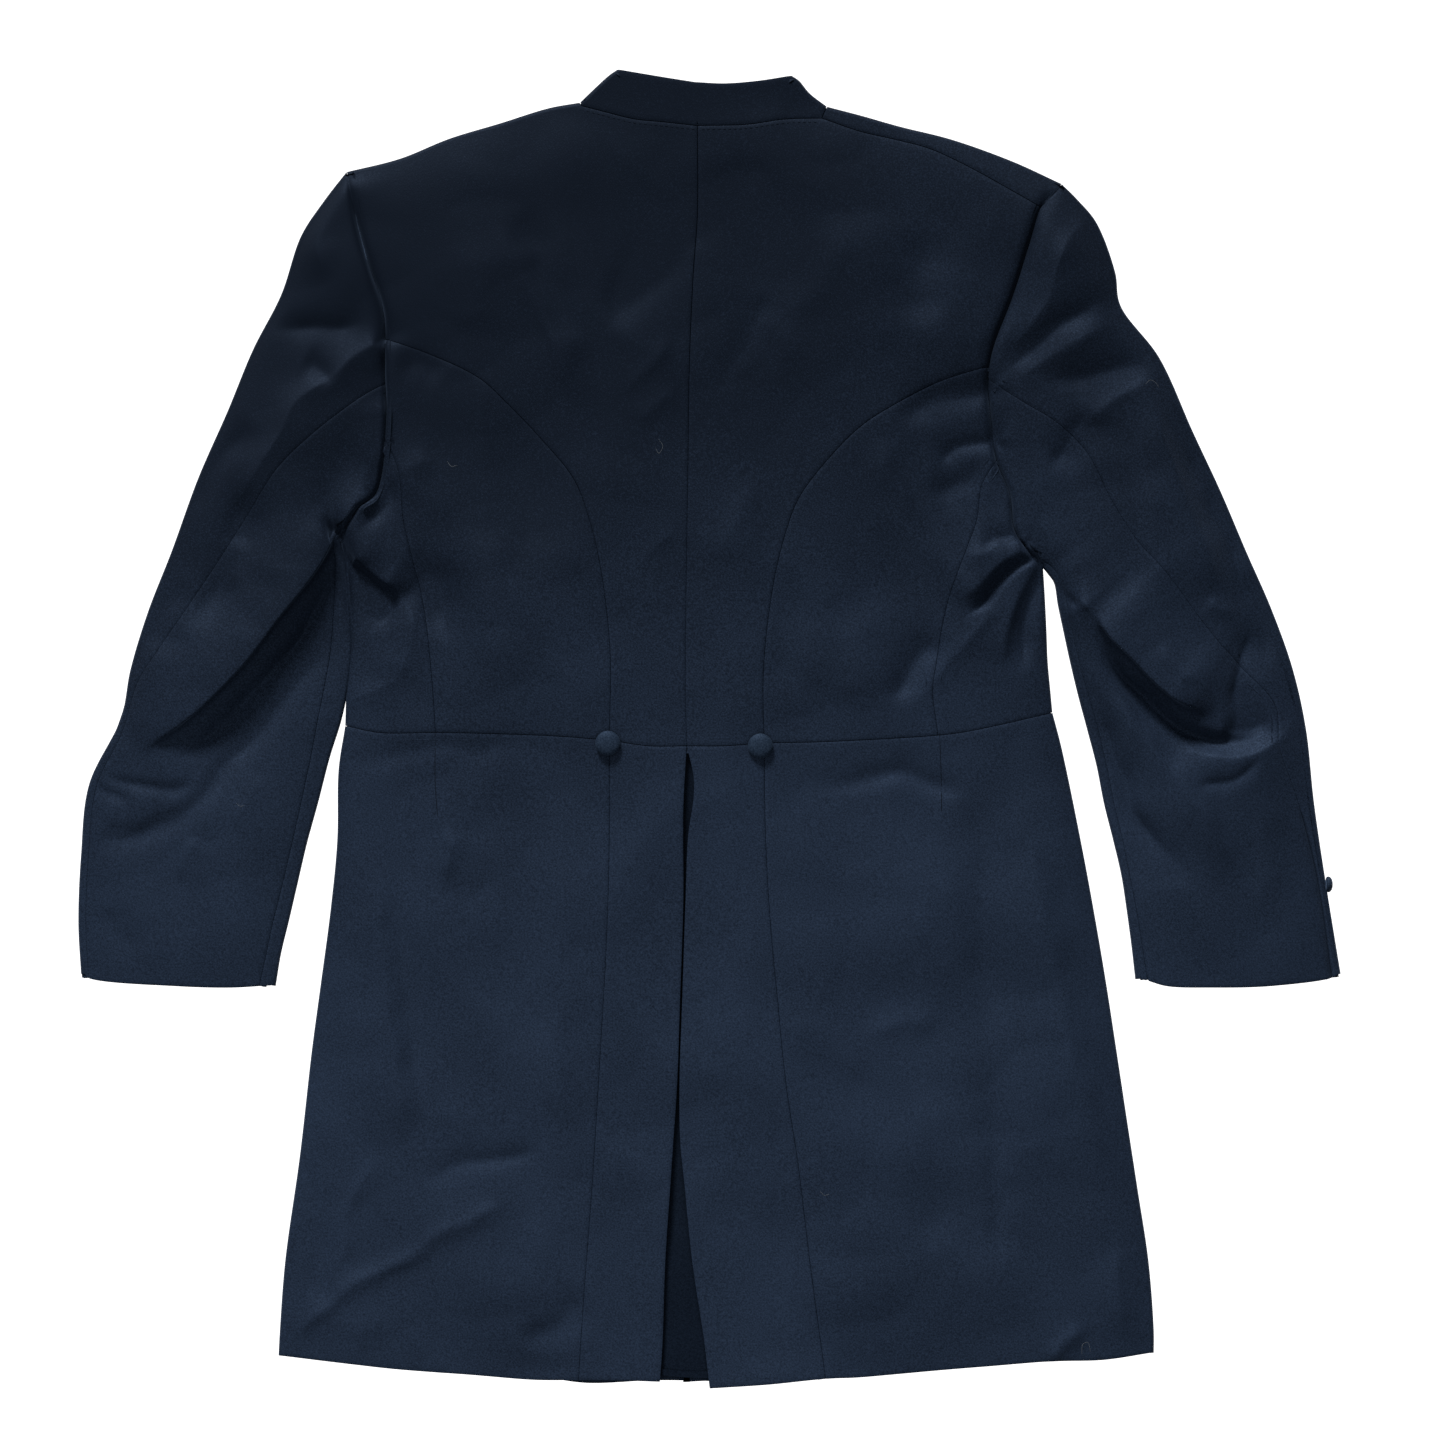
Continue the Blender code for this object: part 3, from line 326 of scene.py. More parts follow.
# A path is walked from its first point to its last. Rise is the height of its crest, or with a minus
# the depth of its valley. Left and right are the reach of its two flanks. Held says that it starts at
# its full height, at a seam. A small edge value makes a crisp crest, and two a soft one.
SLEEVE_FOLDS = [
    # left: the cloth above the elbow hangs over the cloth below it
    ([(335, 548), (311, 582), (280, 620), (250, 660), (213, 699), (168, 741), (140, 762)], 12.0, 6, 42, 8, 1),
    ([(352, 570), (322, 622), (288, 662), (248, 702), (205, 745), (165, 770)], -9.0, 36, 9, 0, 1),
    ([(95, 806), (127, 822), (160, 810), (200, 780), (240, 738), (272, 690)], 5.0, 22, 14),
    ([(334, 604), (290, 672), (254, 732), (213, 784), (164, 822), (116, 842), (92, 834)], -5.5, 10, 24, 0, 1),
    ([(268, 250), (226, 360), (184, 470), (152, 560)], 4.0, 45, 14),
    ([(100, 771), (138, 783), (175, 789), (200, 778)], -2.2, 5, 6),
    ([(92, 789), (110, 793), (130, 800)], -1.8, 5, 6),
    ([(204, 831), (192, 856), (177, 889)], 2.2, 12, 5, 0, 0, 1.2),
    ([(262, 770), (250, 800), (232, 830)], 1.6, 12, 8, 0, 0, 1.3),
    ([(350, 184), (334, 205), (318, 246), (327, 285)], 5.0, 12, 22, 0, 1, 1.3),
    ([(262, 338), (300, 330), (340, 326), (372, 324)], -4.6, 9, 12, 0, 0, 1.4),
    ([(372, 345), (330, 380), (300, 402), (277, 440), (251, 487), (233, 515)], 6.0, 22, 11, 0, 1, 1.3),
    ([(300, 362), (320, 372), (338, 386)], -2.4, 9, 9),
    ([(375, 430), (348, 465), (318, 500), (290, 540)], -4.0, 22, 20),
    ([(246, 536), (238, 560), (229, 596)], 2.2, 7, 12, 0, 0, 1.3),
    ([(262, 470), (240, 530), (215, 590), (200, 640)], -5.0, 16, 12),
    ([(255, 414), (216, 468), (177, 531)], -3.5, 12, 14),
    ([(265, 560), (262, 600), (240, 640)], -2.0, 14, 14),
    ([(175, 575), (165, 620), (155, 660)], -2.0, 16, 12),
    ([(108, 905), (120, 930), (150, 950)], -1.5, 14, 12),
    # right: the same, with a second ridge and the turn at the elbow
    ([(1048, 566), (1062, 582), (1080, 604), (1102, 630)], 5.0, 26, 4, 0, 0, 1.4),
    ([(1082, 612), (1098, 629), (1127, 656), (1154, 684), (1185, 709), (1212, 724)], 12.0, 42, 6, 7),
    ([(1072, 612), (1096, 648), (1118, 674), (1146, 700), (1178, 727), (1210, 741), (1245, 738), (1278, 722)],
     -9.0, 6, 11, 0, 0),
    ([(1076, 612), (1094, 655), (1121, 702), (1142, 740), (1170, 776), (1196, 815), (1216, 850), (1232, 880)],
     7.0, 11, 24, 0, 1),
    ([(1086, 668), (1098, 712), (1112, 752), (1132, 798), (1160, 845), (1195, 892)], -7.5, 8, 20, 0, 0, 1.3),
    ([(1250, 560), (1262, 620), (1268, 684)], -4.0, 10, 24),
    ([(1136, 368), (1160, 430), (1184, 500), (1206, 560), (1238, 618)], 7.5, 10, 50, 0, 0, 1.5),
    ([(1176, 742), (1209, 755), (1242, 757), (1272, 743), (1302, 703)], 5.5, 8, 30, 2, 0, 1.3),
    ([(1216, 726), (1245, 726), (1276, 714)], -6.0, 28, 7),
    ([(1252, 625), (1242, 655), (1232, 690), (1224, 718)], -2.6, 8, 3.5, 0, 0, 1.3),
    ([(1190, 786), (1215, 784), (1242, 775), (1262, 762)], -2.4, 5, 5, 0, 0, 1.3),
    ([(1086, 205), (1064, 262), (1038, 312), (1010, 352)], 4.5, 26, 12, 0, 0, 1.2),
    ([(1108, 290), (1070, 322), (1034, 350), (996, 376)], -5.0, 10, 12, 0, 0, 1.4),
    ([(1128, 322), (1080, 340), (1040, 364), (1008, 384)], 3.5, 10, 18, 0, 0, 1.3),
    ([(1160, 362), (1120, 372), (1080, 376), (1044, 384)], -3.6, 10, 12, 0, 0, 1.4),
    ([(1176, 374), (1130, 392), (1094, 412), (1066, 458)], 3.0, 16, 8, 0, 0, 1.3),
    ([(1094, 404), (1072, 440), (1046, 472)], -4.2, 18, 8, 0, 0, 1.4),
    ([(1180, 400), (1198, 450), (1214, 500), (1232, 560), (1250, 612)], -4.5, 16, 8),
    ([(1206, 600), (1218, 612), (1240, 606)], 2.0, 8, 8, 0, 0, 1.3),
    ([(1150, 470), (1152, 530), (1158, 590)], 2.0, 16, 12),
    ([(1015, 520), (1060, 560), (1110, 610), (1160, 660)], 2.5, 30, 30),
    ([(1155, 640), (1180, 660), (1200, 684)], 1.8, 8, 7, 0, 0, 1.3),
    ([(1262, 790), (1266, 850), (1258, 930)], 1.6, 16, 10),
]

# %% Folds of the body
BODY_FOLDS = [
    # left: the tuck under the arm and the hollow beside it
    ([(341, 543), (352, 556), (366, 568), (381, 578), (394, 587), (404, 600)], 10.0, 26, 8, 3, 1),
    ([(352, 574), (368, 590), (384, 602), (400, 609)], -7.0, 7, 11, 0, 0),
    ([(402, 470), (384, 506), (358, 538)], -3.0, 7, 7),
    ([(412, 540), (428, 585), (446, 630)], -3.5, 12, 12),
    ([(478, 520), (490, 600), (508, 700)], 3.0, 22, 20),
    ([(402, 596), (413, 630), (402, 662), (392, 690)], 3.9, 14, 16, 0, 0, 1.3),
    ([(440, 548), (446, 600), (436, 650)], -3.6, 16, 14),
    ([(395, 500), (410, 470), (440, 455)], 2.7, 12, 14),
    ([(345, 700), (380, 690), (405, 676)], 2.2, 8, 10, 0, 1, 1.3),
    ([(395, 372), (420, 366), (446, 384)], -2.0, 14, 10),
    # right: the creases that run down from the armhole
    ([(1016, 552), (1003, 561), (988, 574), (970, 591), (950, 604)], 6.0, 9, 26, 0, 1, 1.5),
    ([(1030, 562), (1019, 568), (1001, 586), (983, 604), (957, 617)], -4.5, 2.5, 6, 0, 1, 1.4),
    ([(1010, 598), (975, 628), (939, 672), (907, 716)], 2.2, 9, 9, 0, 0, 1.4),
    ([(1036, 566), (1024, 588), (1013, 610), (1004, 640), (995, 672)], 4.0, 5, 14, 0, 1, 1.4),
    ([(1042, 580), (1033, 600), (1026, 630), (1018, 680)], -5.5, 7, 9, 0, 1, 1.4),
    ([(948, 630), (915, 665), (888, 702)], -4.5, 9, 12),
    ([(1000, 540), (986, 552), (960, 556)], 3.0, 12, 9, 0, 0, 1.4),
    ([(930, 500), (960, 482), (995, 480)], -3.6, 10, 12),
    ([(870, 436), (888, 468), (905, 500), (928, 534)], 2.7, 7, 9, 0, 0, 1.3),
    ([(975, 545), (1000, 540), (1030, 535)], -3.8, 9, 9, 0, 0, 1.3),
    # upper back
    ([(778, 168), (735, 190), (701, 218), (655, 262), (622, 304), (606, 340)], -6.5, 10, 12, 0, 0, 1.5),
    ([(494, 205), (519, 268), (556, 345), (590, 422)], 4.0, 34, 10, 0, 0, 1.3),
    ([(520, 205), (540, 268), (575, 345)], -3.5, 12, 24),
    ([(868, 218), (830, 270), (791, 327), (765, 417)], 1.8, 16, 20),
    ([(939, 225), (930, 290), (946, 350), (984, 372)], 3.0, 26, 12, 0, 0, 1.3),
    ([(985, 390), (940, 402), (890, 420)], -4.0, 10, 14, 0, 1),
    ([(990, 440), (960, 448), (935, 470)], -4.0, 8, 10, 0, 1, 1.4),
    ([(676, 526), (655, 548), (631, 571)], 1.4, 6, 9, 0, 0, 1.3),
    ([(672, 334), (650, 366), (624, 398)], 1.3, 6, 9, 0, 0, 1.3),
    ([(765, 295), (752, 330), (714, 398)], -2.4, 7, 12, 0, 0, 1.3),
    ([(850, 600), (856, 660), (850, 715)], 3.0, 22, 22),
    ([(795, 560), (790, 640), (786, 715)], -2.4, 16, 20),
    ([(678, 387), (655, 408), (632, 428)], 1.5, 8, 8, 0, 0, 1.3),
    ([(925, 225), (923, 280), (922, 335)], -3.3, 16, 20),
    ([(500, 420), (520, 500), (530, 590)], -2.4, 24, 24),
    ([(560, 240), (585, 330), (600, 425)], -2.4, 26, 20),
    ([(835, 560), (815, 630), (812, 700)], 2.1, 20, 16),
    ([(760, 470), (735, 520), (715, 570)], 1.8, 14, 10),
    ([(470, 230), (480, 290), (470, 340)], 2.1, 26, 24),
]

# The armhole seams lie deep, because the sleeve head is full and rolls over them.
ARMHOLE_FOLDS = [
    ([(351, 182), (366, 240), (380, 300), (386, 350), (386, 420)], -2.2, 5, 5, 0, 1),
    ([(386, 395), (384, 440), (377, 484)], 3.0, 4, 22, 0, 0, 1.4),
    ([(368, 499), (353, 515), (341, 538)], 4.0, 4, 20, 0, 1, 1.4),
    ([(1048, 200), (1028, 250), (1010, 300), (992, 345), (989, 400), (1000, 465), (1010, 510), (1040, 560)],
     -2.2, 5, 5, 0, 1),
]

# %% Folds of the skirt
SKIRT_FOLDS = [
    ([(372, 800), (378, 900), (388, 1000), (402, 1090), (412, 1150)], 3.9, 18, 22, 0, 0, 1.4),
    ([(396, 840), (402, 960), (414, 1060), (424, 1150)], -3.0, 20, 14),
    ([(560, 770), (562, 1000), (556, 1140), (548, 1340)], 2.5, 16, 14),
    ([(440, 815), (453, 846), (450, 862), (442, 890)], 3.2, 9, 5, 0, 0, 1.2),
    ([(500, 800), (497, 880), (486, 960)], 1.7, 16, 16),
    ([(425, 1178), (470, 1165), (510, 1155), (548, 1146)], -3.0, 8, 6, 0, 0, 1.3),
    ([(283, 1352), (318, 1316), (345, 1288), (400, 1262), (448, 1243)], 3.4, 8, 7, 0, 0, 1.3),
    ([(388, 1262), (440, 1232), (478, 1212), (506, 1202)], 2.6, 6, 8, 0, 0, 1.3),
    ([(378, 1145), (345, 1230), (332, 1300)], 2.8, 12, 8, 0, 0, 1.3),
    ([(312, 1140), (318, 1240), (330, 1340)], -2.0, 10, 10),
    ([(525, 1352), (560, 1325), (588, 1290)], -3.0, 12, 9),
    ([(340, 760), (420, 752), (540, 746)], -2.2, 12, 8),
    ([(640, 1150), (625, 1250), (622, 1350)], -1.5, 14, 14),
    ([(805, 785), (860, 783), (905, 775), (945, 790), (958, 802)], -3.2, 9, 6),
    ([(1030, 770), (1030, 850), (1050, 950), (1070, 1050), (1092, 1130), (1105, 1200)],
     3.4, 14, 18, 0, 0, 1.4),
    ([(975, 760), (978, 850), (985, 980), (1000, 1120)], -2.4, 18, 18),
    ([(988, 1060), (998, 1200), (1002, 1262)], -2.0, 12, 12),
    ([(1112, 1236), (1118, 1290), (1122, 1344)], 2.4, 9, 9, 0, 0, 1.3),
    ([(1045, 1362), (1060, 1340), (1085, 1330)], 2.4, 8, 8),
    ([(800, 1165), (900, 1200), (960, 1240)], -2.4, 28, 22),
    ([(860, 1040), (905, 1020), (940, 1030)], 2.1, 12, 10, 0, 0, 1.4),
    ([(760, 1010), (830, 1045), (870, 1080)], 1.5, 16, 14),
]
FOLDS = [Fold(from_picture(path), *rest)
         for path, *rest in [*SLEEVE_FOLDS, *BODY_FOLDS, *ARMHOLE_FOLDS, *SKIRT_FOLDS]]

# Broad swellings: the shoulder pads, the sleeve heads and the blades
BLOBS = [
    Blob(x=-235, y=372, rise=4.0, radius=60),
    Blob(x=225, y=365, rise=4.0, radius=60),
    Blob(x=-300, y=330, rise=3.0, radius=45),
    Blob(x=285, y=330, rise=3.0, radius=45),
    Blob(x=-120, y=330, rise=2.5, radius=90),
    Blob(x=105, y=330, rise=2.5, radius=90),
    Blob(x=-145, y=95, rise=2.0, radius=70),
]
print("folds:", len(FOLDS))

# %% [markdown]
# ## Lines and grids
# Every seam is drawn once, as a smooth line through a few points, and cut into equal steps. Two
# pieces that meet there use the same points, so they meet exactly. Between four such lines lies a
# grid. Blending the four sides is quick, but folds over where a side is hollow, as at an armhole.
# The Winslow method then moves the inner points until rows and columns keep apart.

# %% Lines
LINE_STEPS = 16  # from one given point to the next, before a line is cut evenly
FINE_STEPS = 24  # the same for a line that is cut near given stops
TURN_STEPS = 6  # over which a rolled edge turns away from its first normal
EDGE_RADIUS = 3.0  # of a rolled edge


def lengths_along(line, power=1):
    """How far along a line each of its points lies."""
    return np.concatenate([[0], np.cumsum(np.linalg.norm(np.diff(line, axis=0), axis=1) ** power)])


def directions(line):
    """The way along a line and the way to its left, at each of its points."""
    along = np.gradient(line, axis=0)
    along /= np.linalg.norm(along, axis=1)[:, None]
    return along, np.stack([-along[:, 1], along[:, 0]], axis=1)


def smooth_line(points, steps):
    """Points on the smooth line through the given ones, a number of steps between each two."""
    p = np.array(points, float)
    p = np.vstack([2 * p[0] - p[1], p, 2 * p[-1] - p[-2]])
    t = lengths_along(p, 0.5)
    line = []
    for i in range(1, len(p) - 2):
        s = np.linspace(t[i], t[i + 1], steps, endpoint=False)[:, None]
        a = [(p[k] * (t[k + 1] - s) + p[k + 1] * (s - t[k])) / (t[k + 1] - t[k]) for k in (i - 1, i, i + 1)]
        b = [(a[k] * (t[i + 1 + k] - s) + a[k + 1] * (s - t[i - 1 + k])) / (t[i + 1 + k] - t[i - 1 + k])
             for k in (0, 1)]
        line.append((b[0] * (t[i + 1] - s) + b[1] * (s - t[i])) / (t[i + 1] - t[i]))
    return np.vstack(line + [p[-2][None]])


def evenly(line, steps):
    """The line again, cut into equal steps."""
    length = lengths_along(line)
    at = np.linspace(0, length[-1], steps + 1)
    return np.stack([np.interp(at, length, line[:, k]) for k in (0, 1)], axis=1)


def curve(points, steps):
    return evenly(smooth_line(points, LINE_STEPS), steps)


def join(*lines):
    """Lines one after the other, each starting where the last one ended."""
    return np.vstack([lines[0]] + [line[1:] for line in lines[1:]])


def stretches(points, stops, steps):
    """A smooth line cut at the points nearest to the stops, each stretch in its own number of steps."""
    line = smooth_line(points, FINE_STEPS)
    nearest = [int(np.argmin(np.linalg.norm(line - stop, axis=1))) for stop in stops]
    cuts = [0, *nearest, len(line) - 1]
    return [evenly(line[a:b + 1], n) for a, b, n in zip(cuts, cuts[1:], steps)]


def meet(lines, ends):
    """Lines that follow each other, made to end on the given points exactly."""
    for i, end in enumerate(ends):
        lines[i][-1] = end
        if i + 1 < len(lines):
            lines[i + 1][0] = end
    return lines


def straight(start, end, steps):
    return evenly(np.array([start, end]), steps)


def split_edge(lines, turn, first=None):
    """Edges for lines that follow each other, with normals that agree where they meet."""
    points = join(*lines)
    normals = turn * directions(points)[1]
    if first is not None:
        turning = np.linspace(1, 0, TURN_STEPS)[:, None] ** 2
        normals[:TURN_STEPS] = turning * first + (1 - turning) * normals[:TURN_STEPS]
        normals /= np.linalg.norm(normals, axis=1)[:, None]
    edges, start = [], 0
    for line in lines:
        end = start + len(line) - 1
        edges.append(Edge(points[start:end + 1], normals[start:end + 1]))
        start = end
    return edges


def inset(edge):
    """Where the flat cloth starts, inside a rolled edge."""
    return edge.points + EDGE_RADIUS * edge.inward


# %% Grids
CLOSE = (0.12, 0.42)  # how far the extra rows are from a seam, in steps
COARSE = 7  # rows of the fine grid in each row of the coarse one
SPREAD_ROUNDS = 300


def coons(low, high, left, right):
    """Blend four sides: low and high run from left to right, left and right from low to high."""
    u = np.linspace(0, 1, len(low))[None, :, None]
    v = np.linspace(0, 1, len(left))[:, None, None]
    across = (1 - v) * low[None] + v * high[None]
    along = (1 - u) * left[:, None] + u * right[:, None]
    corners = (1 - v) * ((1 - u) * low[0] + u * low[-1]) + v * ((1 - u) * high[0] + u * high[-1])
    return across + along - corners


def spread(grid):
    """Move the inner points of a grid until no cell is folded."""
    grid = grid.copy()
    for _ in range(SPREAD_ROUNDS):
        du = (grid[1:-1, 2:] - grid[1:-1, :-2]) / 2
        dv = (grid[2:, 1:-1] - grid[:-2, 1:-1]) / 2
        long_v, long_u = (dv ** 2).sum(2, keepdims=True), (du ** 2).sum(2, keepdims=True)
        shear = (du * dv).sum(2, keepdims=True)
        twist = (grid[2:, 2:] - grid[2:, :-2] - grid[:-2, 2:] + grid[:-2, :-2]) / 4
        columns, rows = grid[1:-1, 2:] + grid[1:-1, :-2], grid[2:, 1:-1] + grid[:-2, 1:-1]
        grid[1:-1, 1:-1] = (long_v * columns + long_u * rows - 2 * shear * twist) / (2 * (long_v + long_u))
    return grid


def between(grid, at, axis):
    """A grid read at places between its rows or columns."""
    grid = np.moveaxis(grid, axis, 0)
    at = np.asarray(at, float)
    low = np.minimum(at.astype(int), len(grid) - 2)
    share = (at - low).reshape(-1, *[1] * (grid.ndim - 1))
    return np.moveaxis(grid[low] * (1 - share) + grid[low + 1] * share, 0, axis)


def patch(low, high, left, right):
    """Fine plan grid between four lines: spread as a coarse grid, then refined to fit its sides."""
    keep_u, keep_v = (
        np.unique(np.linspace(0, len(line) - 1, 2 + len(line) // COARSE).round().astype(int))
        for line in (low, left))
    grid = spread(coons(low[keep_u], high[keep_u], left[keep_v], right[keep_v]))
    grid = between(grid, np.interp(np.arange(len(left)), keep_v, np.arange(len(keep_v))), 0)
    grid = between(grid, np.interp(np.arange(len(low)), keep_u, np.arange(len(keep_u))), 1)
    return grid + coons(low - grid[0], high - grid[-1], left - grid[:, 0], right - grid[:, -1])


def close_rows(count, start=True, end=True, also=()):
    """Places of all rows of a grid and of the extra ones next to its seams."""
    last = count - 1
    extra = [close for close in CLOSE if start] + [last - close for close in CLOSE if end]
    extra += [spot - close for spot in also for close in CLOSE]
    return np.sort(np.concatenate([np.arange(count), extra]))


def seamed(plan, also=()):
    """The grid with extra rows and columns next to its seams."""
    plan = between(plan, close_rows(plan.shape[0], also=also), 0)
    return between(plan, close_rows(plan.shape[1]), 1)


corners = (0, 0), (4, 0), (0, 4), (4, 4)
sides = (corners[0], corners[1]), (corners[2], corners[3]), (corners[0], corners[2]), (corners[1], corners[3])
square = coons(*(straight(a, b, 4) for a, b in sides))
print("a plain square of 5 by 5 points has", seamed(square).shape[:2], "with its extra rows")

# %% [markdown]
# ## The surface
# One function gives the height of the cloth at any place, so a fold runs on across a seam without a
# step. It adds up the swelling inside the edges, the pads, the folds and some slow waves, and it keeps
# the cloth above the layers beneath. A fold that leans also carries its crest sideways.

# %% Sizes of the surface
CLOTH = 2.2  # what the solids keep for wool and lining
SEAM_GAP = 0.3
EDGE_HEIGHT = 2 * EDGE_RADIUS
PLATEAU_BODY = 4.6  # how far the cloth lifts from the edge height on the body
PLATEAU_SLEEVE = 8.0  # and on a sleeve
PLATEAU_LENGTH = 24.0  # distance from the edge over which it lifts
EDGE_FAR = 4  # an edge counts within this many of those lengths
EDGE_SKIP = 4  # every fourth point of an edge is enough to measure from
NO_EDGE = 400.0  # the distance that stands for no edge near
HEM_DROP = 0.55  # share of the lift that is lost at the hem
HEM_FROM = (-400, -480)
FULL_ABOVE = (-260, -150)  # a sleeve gets its full height between these heights
LEFT_SLEEVE_FROM, RIGHT_SLEEVE_FROM = (238, 285), (222, 268)  # beyond the armholes
VENT_MIDDLE, VENT_REACH = -15, 95  # the cloth stays above the layers of the vent here
UNDER_VENT = 0.4
LOWEST = 4.2  # down in a deep crease the upper cloth comes near the lower one
SHARPNESS = 0.5  # how tightly the cloth bends onto what lies beneath
MIDDLE_RISE = 0.5

# %% Sizes of seams and folds
SEAM_DEPTH = 0.5  # the cloth rolls down into a seam by this much
SEAM_WIDTH = 1.0
SEAM_FAR, SEAM_EDGE = 6, 1.3  # a seam counts within this many widths, and this shapes its sides
ARMHOLE_DEPTH, ARMHOLE_REACH = 3.8, 1.5  # the full sleeve head rolls over its seam
SLIT_DEPTH, SLIT_REACH = 3.2, 1.5  # the cuff is open below the end of its seam
GROOVE_START = 0.15  # share of its length over which a groove gets its depth
GROOVE_FAR, GROOVE_EDGE = 5, 1.2
FOLD_LENGTH = 9.0  # distance from an edge over which the folds get their height
FADE = 0.32  # share of a fold's length over which its free ends run out
PAST_END = 5.0  # how far it reaches past a held end, next to its crest
PAST_SHARE = 0.9  # and further off, by this share of the distance
FOLD_FAR, FOLD_MARGIN = 3.2, 6  # a fold counts within this many reaches, and this much more
FOLD_STEPS, LEANING_STEPS = 6, 14  # between two points of its path
CREST_EDGE = 1.5  # a larger value moves less of the flanks with a leaning crest
GROOVE_STEPS, SLIT_STEPS = 8, 12

ARMHOLE_LINES = [smooth_line([side.shoulder_edge[-1], *side.armhole, side.bodice_edge[0]], GROOVE_STEPS)
                 for side in (LEFT, RIGHT)]
SLIT_LINE = smooth_line([row.hind for row in RIGHT.sections[-4:]], SLIT_STEPS)[SLIT_STEPS:]
GROOVES = [(line, ARMHOLE_DEPTH, ARMHOLE_REACH) for line in ARMHOLE_LINES]
GROOVES.append((SLIT_LINE, SLIT_DEPTH, SLIT_REACH))
print("grooves:", len(GROOVES))


# %% Slow waves
def slow_waves(seed, count, lengths, height):
    """A field of waves of any direction, which come out the same each time."""
    random = np.random.default_rng(seed)
    spans = lengths, (0, math.pi), (0, 2 * math.pi)
    length, angle, start = (random.uniform(*span, count) for span in spans)

    def field(x, y):
        total = 0 * x
        for one, turn, begin in zip(length, angle, start):
            along = x * math.cos(turn) + y * math.sin(turn)
            total += one / lengths[1] * np.sin(along * 2 * math.pi / one + begin)
        return height * total

    return field


# Seed, number of waves, their shortest and longest length, and their height, in millimetres
swell = slow_waves(7, 26, (55.0, 190.0), 0.34)
ridges = slow_waves(21, 9, (90.0, 260.0), 0.6)  # their size is taken, which makes creases
dents = slow_waves(23, 12, (50.0, 130.0), 0.2)
wander_x = slow_waves(11, 12, (28.0, 90.0), 0.9)
wander_y = slow_waves(12, 12, (28.0, 90.0), 0.9)

print("swelling 100 mm up on the centre line:", round(float(swell(0.0, 100.0)), 2), "mm")


# %% Distances
def distance_to(points, line):
    """From each point to a line: distance, side, way across, share of its length, and way past its end."""
    a, b = line[:-1], line[1:]
    d = b - a
    rel = points[:, None] - a[None]
    t = np.clip((rel * d).sum(2) / (d * d).sum(1), 0, 1)
    gap = rel - t[..., None] * d
    away = np.linalg.norm(gap, axis=2)
    k = away.argmin(axis=1)
    rows = np.arange(len(points))
    side = np.sign(d[k, 0] * rel[rows, k, 1] - d[k, 1] * rel[rows, k, 0])
    across = np.stack([-d[k, 1], d[k, 0]], axis=1) / np.linalg.norm(d[k], axis=1)[:, None]
    past = np.abs((gap[rows, k] * np.stack([across[:, 1], -across[:, 0]], axis=1)).sum(1))
    return away[rows, k], side, across, (k + t[rows, k]) / len(d), past


def smoothstep(low, high, x):
    t = np.clip((x - low) / (high - low), 0, 1)
    return t * t * (3 - 2 * t)


def near(flat, line, reach):
    """Which of the points can be within reach of a line."""
    low, high = line.min(axis=0) - reach, line.max(axis=0) + reach
    return ((flat > low) & (flat < high)).all(axis=1)


def close_to(flat, line, reach):
    """Which points can be within reach of a line, with their distance and the share of its length."""
    spots = near(flat, line, reach)
    if not spots.any():
        return spots, np.zeros(0), np.zeros(0)
    away, _, _, part, _ = distance_to(flat[spots], line)
    return spots, away, part


def distance_to_edges(flat, edges):
    """From each point to the nearest rolled edge, where one is near enough to matter."""
    found = np.full(len(flat), NO_EDGE)
    for edge in edges:
        spots = near(flat, edge.points, EDGE_FAR * PLATEAU_LENGTH)
        if spots.any():
            found[spots] = np.minimum(found[spots], distance_to(flat[spots], edge.points[::EDGE_SKIP])[0])
    return found


# %% Height of the cloth
def swelling(x, y, lift):
    """Height of the cloth before its folds, and how near it is to the vent and the layers there."""
    on_sleeve = np.maximum(smoothstep(*LEFT_SLEEVE_FROM, -x), smoothstep(*RIGHT_SLEEVE_FROM, x))
    on_sleeve *= smoothstep(*FULL_ABOVE, y)
    centre = np.exp(-(np.abs(x - VENT_MIDDLE) / VENT_REACH) ** 4)
    hem = 1 - HEM_DROP * (1 - centre) * smoothstep(*HEM_FROM, y)
    z = EDGE_HEIGHT + lift * hem * (PLATEAU_BODY + (PLATEAU_SLEEVE - PLATEAU_BODY) * on_sleeve)
    z += lift * (swell(x, y) + MIDDLE_RISE - np.abs(ridges(x, y)) + np.abs(dents(x, y)))
    for blob in BLOBS:
        z += blob.rise * lift * np.exp(-((x - blob.x) ** 2 + (y - blob.y) ** 2) / blob.radius ** 2)
    return z, centre


def add_fold(fold, flat, wandered, lift, z, shift):
    """Raise the cloth along one fold, and carry its crest sideways."""
    line = smooth_line(fold.path, LEANING_STEPS if fold.lean else FOLD_STEPS)
    steep = 1 if fold.left < fold.right else -1
    line = line - steep * fold.lean * directions(line)[1]
    spots = near(flat, line, FOLD_FAR * max(fold.left, fold.right) + FOLD_MARGIN)
    if not spots.any():
        return
    away, side, across, part, past = distance_to((flat if fold.lean else wandered)[spots], line)
    away = np.sqrt(np.maximum(away ** 2 - past ** 2, 0))
    end_reach = PAST_END + PAST_SHARE * away
    profile = lift[spots] * np.exp(-(away / np.where(side > 0, fold.left, fold.right)) ** fold.edge)
    profile *= np.exp(-(past / end_reach) ** 2)
    profile *= smoothstep(0, FADE, 1 - part) * (1 if fold.held else smoothstep(0, FADE, part))
    z[spots] += fold.rise * profile
    shift[spots] += steep * fold.lean * across * profile[:, None] ** CREST_EDGE


